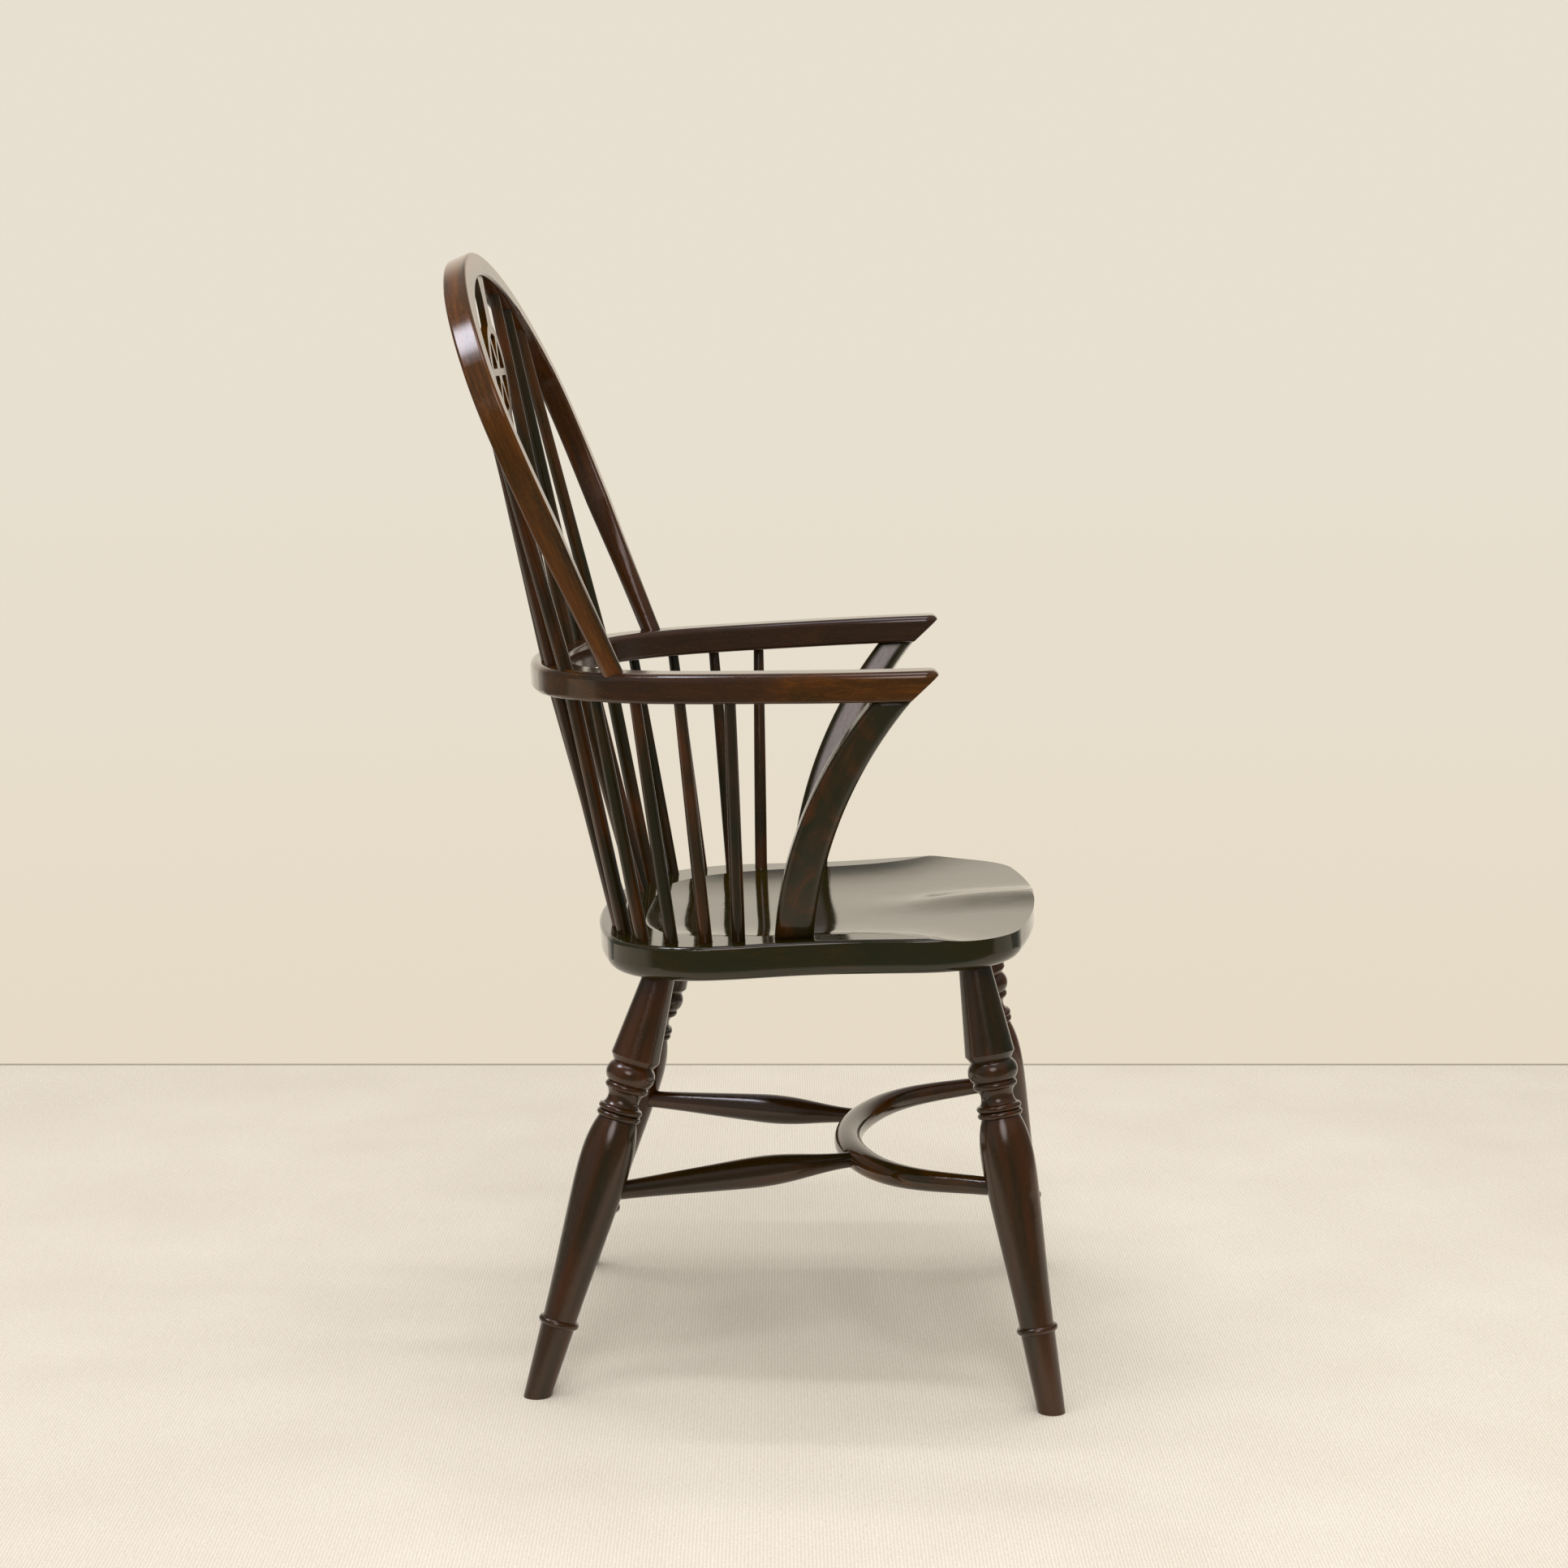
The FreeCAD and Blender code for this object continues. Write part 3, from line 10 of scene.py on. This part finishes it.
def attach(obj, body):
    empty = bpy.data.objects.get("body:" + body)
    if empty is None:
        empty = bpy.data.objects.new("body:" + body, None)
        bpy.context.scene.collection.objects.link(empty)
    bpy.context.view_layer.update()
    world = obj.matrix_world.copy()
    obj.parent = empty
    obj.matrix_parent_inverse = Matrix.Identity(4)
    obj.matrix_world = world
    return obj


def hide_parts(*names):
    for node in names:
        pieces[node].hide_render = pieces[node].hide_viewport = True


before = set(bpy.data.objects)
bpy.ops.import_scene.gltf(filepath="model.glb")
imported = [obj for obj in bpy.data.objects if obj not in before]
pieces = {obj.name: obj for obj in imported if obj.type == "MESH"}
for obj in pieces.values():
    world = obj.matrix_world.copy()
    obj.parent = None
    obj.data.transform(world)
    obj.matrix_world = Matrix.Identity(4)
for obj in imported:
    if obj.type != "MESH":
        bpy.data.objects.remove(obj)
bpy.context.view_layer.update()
dice = random.Random(1907)  # one throw order for every piece, so each run gives the same chair
print("chair loaded:", len(pieces), "pieces")


class Wire:
    # An output socket of a node tree. Sums on it add Math nodes.
    def __init__(self, tree, socket=None):
        self.tree = tree
        self.socket = socket

    def add(self, kind, settings, inputs, output=0):
        # Makes any node: its settings are set first, then its inputs get a number or a link
        made = self.tree.nodes.new("ShaderNode" + kind)
        for name, value in settings.items():
            setattr(made, name, value)
        for name, value in inputs.items():
            if isinstance(value, Wire):
                self.tree.links.new(value.socket, made.inputs[name])
            else:
                made.inputs[name].default_value = value
        return Wire(self.tree, made.outputs[output] if made.outputs else None)

    def maths(self, operation, *values):
        return self.add("Math", {"operation": operation}, dict(enumerate(values)))

    def vectors(self, operation, *values, output=0):
        return self.add("VectorMath", {"operation": operation}, dict(enumerate(values)), output)

    def __add__(self, other):
        return self.maths("ADD", self, other)

    def __sub__(self, other):
        return self.maths("SUBTRACT", self, other)

    def __rsub__(self, other):
        return self.maths("SUBTRACT", other, self)

    def __mul__(self, other):
        return self.maths("MULTIPLY", self, other)

    def __pow__(self, other):
        return self.maths("POWER", self, other)

    __radd__ = __add__
    __rmul__ = __mul__

    def above(self, low, high):
        # 0 below low, 1 above high, and a soft step between
        settings = {"interpolation_type": "SMOOTHSTEP"}
        return self.add("MapRange", settings, {"Value": self, "From Min": low, "From Max": high})

    def along(self, direction, start=(0, 0, 0)):
        # How far a place lies from start in a direction
        return self.vectors("DOT_PRODUCT", self.vectors("SUBTRACT", self, start), direction, output="Value")

    def stretched(self, amounts):
        return self.vectors("MULTIPLY", self, amounts)

    def noise(self, scale=1.0, detail=2.0, rough=0.5, twist=0.0):
        inputs = {"Vector": self, "Scale": scale, "Detail": detail, "Roughness": rough, "Distortion": twist}
        return self.add("TexNoise", {}, inputs, "Fac")

    def tint(self, first, second):
        # The wire is the factor between two colours
        colours = [c if isinstance(c, Wire) else (*c, 1.0) for c in (first, second)]
        return self.add("Mix", {"data_type": "RGBA"}, {0: self, 6: colours[0], 7: colours[1]}, 2)


def emptyTree(owner):
    # Clears the node tree of a material or the world, and gives a wire to start from
    owner.use_nodes = True
    owner.node_tree.nodes.clear()
    return Wire(owner.node_tree)


def placed(name, data):
    thing = bpy.data.objects.new(name, data)
    bpy.context.scene.collection.objects.link(thing)
    return thing


# Grain. Each of these gives a place as (along, across, through) the piece, in metres.

def joined(wire, *values):
    return wire.add("CombineXYZ", {}, dict(enumerate(values)))


def straightGrain(piece):
    # Along the longest way through the piece, which is a turned stick or a sawn board
    places = np.array([vertex.co for vertex in piece.data.vertices], float)
    middle = places.mean(0)
    ways = np.linalg.eigh(np.cov((places - middle).T))[1]
    along, across, through = (Vector(ways[:, i]) for i in (2, 1, 0))
    if along.z < 0:
        along = -along

    def grain(here):
        return joined(here, *(here.along(way, middle) for way in (along, across, through)))

    return grain


def bentGrain(bend):
    # Bent round a half oval that runs on in straight or slowly closing legs
    rise = Vector(bend["rise"]).normalized()
    through = Vector((1, 0, 0)).cross(rise)
    swell = bend["halfWidth"] / bend["crown"]

    def grain(here):
        side = here.along((1, 0, 0))
        height = here.along(rise, bend["middle"])
        upper = here.maths("MAXIMUM", height, 0.0) * swell
        lower = here.maths("MAXIMUM", height * -1.0, 0.0)
        out = here.maths("ABSOLUTE", side)
        radius = (out ** 2.0 + upper ** 2.0) ** 0.5
        turn = here.maths("ARCTAN2", out, upper)
        run = (turn * bend["halfWidth"] + lower) * here.maths("SIGN", side)
        radius = radius + lower * lower * bend["closing"]
        return joined(here, run, radius, here.along(through, bend["middle"]))

    return grain


def plankGrain(here):
    # The seat's plank runs from front to back
    return joined(here, here.along((0, 1, 0)), here.along((1, 0, 0)), here.along((0, 0, 1)))


# Stained wood under gloss lacquer. Stretches are pattern steps in a metre along, across and through.

commonLook = {
    "dark": (0.0110, 0.0080, 0.0056),
    "brown": (0.060, 0.0178, 0.0082),
    "rust": (0.105, 0.032, 0.0100),
    "worn": (0.12, 0.052, 0.026),
    "poreTone": (0.20, 0.095, 0.050),
    "startReach": 3.0,
    "wanderStretch": (3.0, 9.0, 9.0),
    "wander": 0.004,
    "fibreStretch": (9.0, 380.0, 380.0),
    "fibreRange": (0.44, 0.72),
    "fibreLight": 0.40,
    "fibreUnwiped": 0.25,
    "fibreRough": 0.07,
    "hairStretch": (34.0, 1500.0, 1500.0),
    "hairShade": 0.4,
    "poreStretch": (95.0, 2600.0, 2600.0),
    "poreRange": (0.60, 0.70),
    "poreLight": 0.05,
    "poreRough": 0.10,
    "poreDepth": 1.5,
    "bandStretch": (1.6, 70.0, 70.0),
    "bandShare": 0.34,
    "cloudStretch": (7.0, 30.0, 30.0),
    "cloudShare": 0.66,
    "wipedFrom": 0.38,
    "wipedTo": 0.66,
    "pieceToPiece": 0.30,
    "hollowReach": 0.012,
    "hollowRange": (0.25, 0.8),
    "hollowPaintedShade": 0.75,
    "arrisWidth": 0.0016,
    "arrisRange": (0.015, 0.16),
    "patchScale": 38.0,
    "patchRange": (0.40, 0.62),
    "rubbed": 0.30,
    "rubbedRough": 0.15,
    "gloss": 0.095,
    "waveScale": 45.0,
    "waves": 0.04,
    "relief": 0.008,
}


def stainedWood(name, look, grain):
    material = bpy.data.materials.new(name)
    start = emptyTree(material)
    here = start.add("TexCoord", {}, {}, "Object")
    offset = Vector((dice.random(), dice.random(), dice.random())) * look["startReach"]
    tone = 1.0 + look["pieceToPiece"] * (dice.random() - 0.5)

    inWood = grain(here)
    lay = here.vectors("ADD", inWood, offset)
    wander = (lay.stretched(look["wanderStretch"]).noise(detail=1.0) - 0.5) * look["wander"]
    lay = lay.vectors("ADD", lay, joined(lay, 0.0, wander, wander))

    fibres = lay.stretched(look["fibreStretch"]).noise(detail=5.0, rough=0.62)
    hairs = lay.stretched(look["hairStretch"]).noise()
    pores = lay.stretched(look["poreStretch"]).noise(detail=1.0).above(*look["poreRange"])
    bands = lay.stretched(look["bandStretch"]).noise(detail=3.0)
    clouds = lay.stretched(look["cloudStretch"]).noise(detail=3.0, rough=0.55, twist=0.7)

    # Stain: near black, wiped back to red brown in clouds, with lighter fibres where it is wiped
    wiped = clouds * look["cloudShare"] + bands * look["bandShare"]
    wiped = wiped.above(look["wipedFrom"], look["wipedTo"])
    colour = wiped.tint(look["dark"], look["brown"])
    seen = wiped * (1.0 - look["fibreUnwiped"]) + look["fibreUnwiped"]
    lit = fibres.above(*look["fibreRange"]) * seen * look["fibreLight"]
    colour = lit.tint(colour, look["rust"])
    colour = (pores * look["poreLight"]).tint(colour, look["poreTone"])
    shade = (hairs * look["hairShade"] + (1.0 - look["hairShade"] / 2)) * tone
    colour = colour.stretched(joined(shade, shade, shade))
    if "insideOf" in look:
        # Painted shade: the inner face of a bend is painted darker than the outer one
        radius = inWood.add("SeparateXYZ", {}, {"Vector": inWood}, "Y")
        edge, soft = look["insideOf"], look["insideSoft"]
        inside = 1.0 - radius.above(edge - soft, edge + soft)
        colour = (inside * look["innerPaintedShade"]).tint(colour, look["dark"])

    # Painted shade in the hollows that ambient occlusion finds, and arrises rubbed lighter in patches
    reach = {"Distance": look["hollowReach"]}
    openness = start.add("AmbientOcclusion", {"samples": 6, "only_local": True}, reach, "AO")
    hollow = 1.0 - openness.above(*look["hollowRange"])
    colour = (hollow * look["hollowPaintedShade"]).tint(colour, look["dark"])
    facing = start.add("NewGeometry", {}, {}, "Normal")
    rounded = start.add("Bevel", {"samples": 6}, {"Radius": look["arrisWidth"]})
    bendAway = 1.0 - facing.vectors("DOT_PRODUCT", facing, rounded, output="Value")
    patchy = here.noise(scale=look["patchScale"], detail=3.0).above(*look["patchRange"])
    rubbed = bendAway.above(*look["arrisRange"]) * patchy * look["rubbed"]
    colour = rubbed.tint(colour, look["worn"])

    rough = look["gloss"] + (fibres - 0.5) * look["fibreRough"]
    rough = rough + pores * look["poreRough"] + rubbed * look["rubbedRough"]
    waves = here.noise(scale=look["waveScale"])
    height = waves * look["waves"] + fibres * look["relief"] - pores * look["relief"] * look["poreDepth"]
    relief = {"Strength": 1.0, "Distance": 0.001, "Height": height}
    if "sanded" in look:
        # Sanding has rounded a board's faces a little towards their edges
        relief["Normal"] = start.add("Bevel", {"samples": 8}, {"Radius": look["sanded"]})
    bump = start.add("Bump", {}, relief)
    shader = start.add("BsdfPrincipled", {}, {
        "Base Color": colour, "Roughness": rough, "Normal": bump, "IOR": 1.55})
    start.add("OutputMaterial", {}, {"Surface": shader})
    return material


def dress(names, look, grainOf):
    for name in names:
        piece = pieces[name]
        finish = stainedWood(name.replace("_", " ") + " finish", look, grainOf(piece))
        for slot in piece.material_slots:
            slot.material = finish


# Bent pieces: the half width and crown of each oval in metres, with its middle and the way it rises

hoopLook = {
    **commonLook,
    "dark": (0.0190, 0.0090, 0.0056),
    "brown": (0.098, 0.0265, 0.0105),
    "rust": (0.185, 0.054, 0.0180),
    "cloudStretch": (4.5, 34.0, 34.0),
    "wipedFrom": 0.34,
    "wipedTo": 0.64,
    "fibreLight": 0.50,
    "poreLight": 0.25,
    "relief": 0.004,
    "rubbed": 0.5,
    "gloss": 0.12,
    "innerPaintedShade": 0.65,
    "insideSoft": 0.005,
}
armLook = {**hoopLook, "wipedFrom": 0.24, "wipedTo": 0.86}
hoopBend = {"rise": (0, 0.3919, 0.9200), "middle": (0, 0.2249, 0.9335), "halfWidth": 0.258, "crown": 0.1685,
            "closing": 0.73}
armBend = {"rise": (0, 1, -0.0395), "middle": (0, 0.030, 0.700), "halfWidth": 0.279, "crown": 0.181,
           "closing": 0.0}
stretcherBend = {"rise": (0, 1, 0.0507), "middle": (0, -0.250, 0.200), "halfWidth": 0.222, "crown": 0.160,
                 "closing": 0.0}
for name, look, bend in (("back_hoop", hoopLook, hoopBend), ("arm_bow", armLook, armBend)):
    dress([name], {**look, "insideOf": bend["halfWidth"]}, lambda piece: bentGrain(bend))
dress(["bowed_stretcher"], commonLook, lambda piece: bentGrain(stretcherBend))
print("bent pieces finished")

# Sawn boards

postLook = {
    **commonLook,
    "dark": (0.0130, 0.0102, 0.0056),
    "brown": (0.092, 0.0200, 0.0085),
    "cloudStretch": (24.0, 30.0, 30.0),
    "wipedFrom": 0.46,
    "wipedTo": 0.80,
    "fibreLight": 0.15,
    "sanded": 0.010,
}
splatLook = {**commonLook, "fibreLight": 0.5}
dress(["arm_post_left", "arm_post_right"], postLook, straightGrain)
dress(["wheel_splat", "lower_splat"], splatLook, straightGrain)

seatLook = {
    **commonLook,
    "dark": (0.0113, 0.0115, 0.0094),
    "brown": (0.019, 0.0140, 0.0098),
    "cloudStretch": (5.0, 12.0, 12.0),
    "fibreLight": 0.25,
    "poreLight": 0.03,
    "waveScale": 22.0,
    "waves": 0.05,
    "relief": 0.002,
    "gloss": 0.06,
}
dress(["seat"], seatLook, lambda piece: plankGrain)

# Turned pieces

turnedLook = {
    **commonLook,
    "brown": (0.068, 0.0165, 0.0085),
    "rust": (0.092, 0.025, 0.0110),
    "cloudStretch": (5.0, 26.0, 26.0),
    "wipedFrom": 0.32,
    "wipedTo": 0.72,
    "fibreLight": 0.18,
    "gloss": 0.17,
}
spindleLook = {**turnedLook, "cloudStretch": (9.0, 30.0, 30.0), "hollowReach": 0.005, "wipedFrom": 0.38}
legs = ["%s_leg_%s" % (end, side) for end in ("front", "back") for side in ("left", "right")]
stretchers = ["side_stretcher_" + side for side in ("left", "right")]
spindles = sorted(name for name in pieces if "spindle" in name)
dress(legs + stretchers, turnedLook, straightGrain)
dress(spindles, spindleLook, straightGrain)
print("seat, boards and turnings finished")


# The second short spindle on each side comes out through the arm bow's outer face near its tip. Here it
# leans in enough to end inside the wood, and a thin skin with the bow's own section closes the slot.

leanIn = {
    "seatTop": 0.445,
    "tip": 0.694,
    "inward": 0.0038,
    "forward": 0.0020,
    "bendMiddle": (0.03572, 0.0065, 0.7129),  # of the left side's bend, mirrored for the right
    "bendAxis": (0, 0.03943, 0.99922),
    "bendRadius": 0.207,
    "bowHeight": 0.6935,
    "sectionReach": 0.035,
    "skinFrom": 24.4,  # degrees round the bend
    "skinTo": 30.8,
    "skinSteps": 10,
    "skinSwell": 1.003,
}


def leanedSpindle(node, side):
    mesh = pieces[node].data.copy()
    for vertex in mesh.vertices:
        rise = max(0.0, (vertex.co.z - leanIn["seatTop"]) / (leanIn["tip"] - leanIn["seatTop"]))
        vertex.co.x -= side * leanIn["inward"] * rise
        vertex.co.y -= leanIn["forward"] * rise
    spindle = placed(node + "_leaned", mesh)
    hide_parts(node)
    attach(spindle, "root")


def bowSection(middle, axis, outward):
    # The outline of the arm bow's section in the plane through the bend's axis, in order round its heart
    bow = bmesh.new()
    bow.from_mesh(pieces["arm_bow"].data)
    geometry = bow.verts[:] + bow.edges[:] + bow.faces[:]
    cut = bmesh.ops.bisect_plane(bow, geom=geometry, plane_co=middle, plane_no=axis.cross(outward))
    heart = middle + outward * leanIn["bendRadius"]
    heart -= axis * (heart.z - leanIn["bowHeight"]) / axis.z
    ring = [item.co.copy() for item in cut["geom_cut"] if isinstance(item, bmesh.types.BMVert)]
    ring = [place for place in ring if (place - heart).length < leanIn["sectionReach"]]
    bow.free()
    heart = sum(ring, Vector()) / len(ring)
    around = {}
    for place in ring:
        way = place - heart
        around[round(math.atan2(way.dot(axis), way.dot(outward)), 3)] = place
    return heart, [heart + (around[key] - heart) * leanIn["skinSwell"] for key in sorted(around)]


def armSkin(side, name):
    # The bow's section is cut beside the slot and carried round the bend past it
    axis = Vector(leanIn["bendAxis"])
    middle = Vector(leanIn["bendMiddle"])
    middle.x *= side
    start = math.radians(leanIn["skinFrom"])
    outward = Vector((side * math.cos(start), math.sin(start), 0))
    outward = (outward - axis * outward.dot(axis)).normalized()
    heart, ring = bowSection(middle, axis, outward)
    count = len(ring)
    normals = []
    for i, place in enumerate(ring):
        total = Vector()
        for first, second in ((ring[i - 1], place), (place, ring[(i + 1) % count])):
            total += (second - first).cross(axis.cross(outward))
        normals.append(total.normalized())
    if sum(normal.dot(place - heart) for normal, place in zip(normals, ring)) < 0:
        normals = [-normal for normal in normals]
    steps = leanIn["skinSteps"]
    places, ways = [], []
    for step in range(steps + 1):
        angle = math.radians(leanIn["skinTo"] - leanIn["skinFrom"]) * step / steps * side
        turn = Matrix.Rotation(angle, 3, axis)
        places += [middle + turn @ (place - middle) for place in ring]
        ways += [turn @ normal for normal in normals]
    faces = []
    for row in range(0, steps * count, count):
        for i in range(count):
            after = (i + 1) % count
            faces.append((row + i, row + after, row + count + after, row + count + i))
    mesh = bpy.data.meshes.new("arm skin")
    mesh.from_pydata(places, [], faces)
    mesh.polygons.foreach_set("use_smooth", [True] * len(faces))
    if mesh.polygons[0].normal.dot(ways[0]) < 0:
        mesh.flip_normals()
    mesh.normals_split_custom_set_from_vertices(ways)
    mesh.materials.append(pieces["arm_bow"].material_slots[0].material)
    skin = placed("arm_bow_skin_" + name, mesh)
    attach(skin, "root")


for side, name in ((1, "left"), (-1, "right")):
    leanedSpindle("short_spindle_%s_second" % name, side)
    armSkin(side, name)
print("spindle ends closed in")


# Stage: a pale ribbed floor that ends at a cream backdrop

room = {
    "wall": (0.805, 0.742, 0.635),
    "wallShadedLow": (0.795, 0.705, 0.560),
    "wallShadeRange": (-0.26, 0.0),
    "litWall": (0.99, 0.89, 0.74),
    "litWallWay": (1, 0.05, 0),
    "litWallRange": (0.70, 0.94),
    "dimSide": (0.15, 0.17, 0.16),
    "ceiling": (0.36, 0.34, 0.34),
    "ceilingRange": (0.35, 0.65),
    "daylight": 0.71,
    "daylightColour": (1.0, 0.975, 0.935),
    # Soft lights in the gloss: the way to each, its core and edge in degrees, and its colour
    "glows": [
        {"from": (-0.45, 0.89, 0.05), "core": 12.0, "edge": 42.0, "light": (0.32, 0.35, 0.36)},
        {"from": (-0.03, 0.51, 0.86), "core": 2.0, "edge": 12.0, "light": (12.0, 12.0, 13.5)},
        {"from": (-0.84, 0.04, 0.53), "core": 3.0, "edge": 18.0, "light": (4.6, 4.0, 4.0)},
        {"from": (-0.10, 0.02, 0.99), "core": 2.0, "edge": 18.0, "light": (3.6, 3.6, 4.1)},
    ],
}
carpet = {
    "colour": (0.93, 0.855, 0.740),
    "shade": (0.75, 0.670, 0.555),
    "seamAndCornerShade": (0.42, 0.37, 0.29),
    "seamShadeFrom": 0.016,
    "seamShadeTo": 0.004,
    "dim": (0.19, 0.215, 0.19),
    "dimRange": (0.45, 0.90),
    "reach": 9.0,
    "edge": 1.21,
    "turn": 2.7,  # degrees, square to the camera's own direction
    "ribPitch": 0.0032,
    "ribShare": 0.25,
    "ribRelief": 0.4,
    "loopStretch": (260.0, 420.0, 1.0),
    "loopShare": 0.5,
    "loopShift": 5.0,
    "driftScale": 5.0,
    "driftShare": 0.25,
    "mottleRange": (0.25, 0.75),
    "relief": 0.5,
    "rough": 0.95,
    "shine": 0.1,
}


def paleFloor():
    reach, edge = carpet["reach"], carpet["edge"]
    corners = [(-reach, -reach, 0), (edge, -reach, 0), (edge, reach, 0), (-reach, reach, 0)]
    mesh = bpy.data.meshes.new("carpet")
    mesh.from_pydata(corners, [], [(0, 1, 2, 3)])
    floor = placed("carpet", mesh)
    floor.rotation_euler.z = math.radians(carpet["turn"])
    material = bpy.data.materials.new("carpet wool")
    start = emptyTree(material)
    here = start.add("TexCoord", {}, {}, "Object")
    across = here.along((0, 1, 0))
    loops = here.stretched(carpet["loopStretch"]).noise(detail=3.0)
    ribs = start.maths("SINE", across * (2 * math.pi / carpet["ribPitch"]) + loops * carpet["loopShift"])
    ribs = ribs * 0.5 + 0.5
    drift = here.noise(scale=carpet["driftScale"], detail=3.0)
    mottled = ribs * carpet["ribShare"] + loops * carpet["loopShare"] + drift * carpet["driftShare"]
    colour = mottled.above(*carpet["mottleRange"]).tint(carpet["shade"], carpet["colour"])
    intoRoom = here.along((1, 0, 0))
    # A dark line along the carpet's far edge: the seam, and painted shade in the corner where the carpet
    # meets the backdrop
    seamAndCornerShade = intoRoom.above(edge - carpet["seamShadeFrom"], edge - carpet["seamShadeTo"])
    colour = seamAndCornerShade.tint(colour, carpet["seamAndCornerShade"])
    # The floor is dim on the camera's side of the chair, which only the gloss of the wood shows
    before = (intoRoom * -1.0).above(*carpet["dimRange"]) * start.add("LightPath", {}, {}, "Is Glossy Ray")
    colour = before.tint(colour, carpet["dim"])
    relief = {"Strength": carpet["relief"], "Distance": 0.001, "Height": ribs * carpet["ribRelief"] + loops}
    bump = start.add("Bump", {}, relief)
    shader = start.add("BsdfPrincipled", {}, {
        "Base Color": colour, "Roughness": carpet["rough"], "Specular IOR Level": carpet["shine"],
        "Normal": bump})
    start.add("OutputMaterial", {}, {"Surface": shader})
    mesh.materials.append(material)


def wallAndDaylight():
    # The camera sees a cream backdrop with painted shade that darkens it towards the floor. Gloss sees it
    # bright beyond the chair, and elsewhere dimmer sides, a grey top and the soft lights. Everything else
    # gets even daylight.
    world = bpy.data.worlds.new("room")
    bpy.context.scene.world = world
    start = emptyTree(world)
    look = start.add("TexCoord", {}, {}, "Generated")
    upward = look.along((0, 0, 1))
    bright = look.along(room["litWallWay"]).above(*room["litWallRange"])
    gloss = bright.tint(room["dimSide"], room["litWall"])
    gloss = upward.above(*room["ceilingRange"]).tint(gloss, room["ceiling"])
    for glow in room["glows"]:
        edge, core = (math.cos(math.radians(glow[part])) for part in ("edge", "core"))
        near = look.along(Vector(glow["from"]).normalized()).above(edge, core)
        gloss = near.tint(gloss, glow["light"])
    fromCamera, fromGloss, fromGlass = (
        start.add("LightPath", {}, {}, "Is %s Ray" % kind) for kind in ("Camera", "Glossy", "Transmission"))
    shown = start.maths("MAXIMUM", fromCamera, start.maths("MAXIMUM", fromGloss, fromGlass))
    # Painted shade: the backdrop turns darker and yellower towards the floor
    wall = upward.above(*room["wallShadeRange"]).tint(room["wallShadedLow"], room["wall"])
    colour = fromCamera.tint(gloss, wall)
    colour = shown.tint(room["daylightColour"], colour)
    strength = shown * (1.0 - room["daylight"]) + room["daylight"]
    back = start.add("Background", {}, {"Color": colour, "Strength": strength})
    start.add("OutputWorld", {}, {"Surface": back})


lamps = {
    "ceiling tube over the chair": {
        "place": (0.34, 0.0, 2.7), "target": (0.34, 0.0, 0), "size": (0.10, 1.5),
        "watts": 11.5, "colour": (0.95, 0.97, 1.0)},
    "ceiling tube before the chair": {
        "place": (-0.62, 0.05, 2.7), "target": (-0.62, 0.05, 0), "size": (0.10, 1.5),
        "watts": 11.5, "colour": (0.95, 0.97, 1.0)},
    "front ceiling light": {
        "place": (-2.2, -0.2, 2.7), "target": (0, 0, 0.4), "size": (0.6, 1.3),
        "watts": 24.0, "colour": (0.96, 0.97, 1.0)},
}


def areaLamp(name, place, target, size, watts, colour):
    lamp = bpy.data.lights.new(name, "AREA")
    lamp.shape = "RECTANGLE"
    lamp.size, lamp.size_y = size
    lamp.energy = watts
    lamp.color = colour
    holder = placed(name, lamp)
    holder.location = place
    holder.visible_glossy = False  # the soft lights stand for the lamps in the gloss
    holder.rotation_euler = (Vector(target) - Vector(place)).to_track_quat("-Z", "Y").to_euler()


paleFloor()
wallAndDaylight()
for name, lamp in lamps.items():
    areaLamp(name, **lamp)
print("room and lamps set")

# Camera at the place from which the chair was seen, with that picture's own framing

view = {
    "place": (-3.254, -0.1681, 1.040),
    "forward": (0.98827, 0.04669, -0.14544),
    "lens": 74.53,
    "sensor": 36.0,
    "shift": (0.0062, 0.0067),
}
lensData = bpy.data.cameras.new("camera")
lensData.lens = view["lens"]
lensData.sensor_width = view["sensor"]
lensData.shift_x, lensData.shift_y = view["shift"]
camera = placed("camera", lensData)
forward = Vector(view["forward"]).normalized()
right = forward.cross(Vector((0, 0, 1))).normalized()
upward = right.cross(forward)
turn = Matrix((right, upward, -forward)).transposed().to_4x4()
camera.matrix_world = Matrix.Translation(view["place"]) @ turn
bpy.context.scene.camera = camera
bpy.context.scene.view_settings.view_transform = "Standard"
print("camera set")
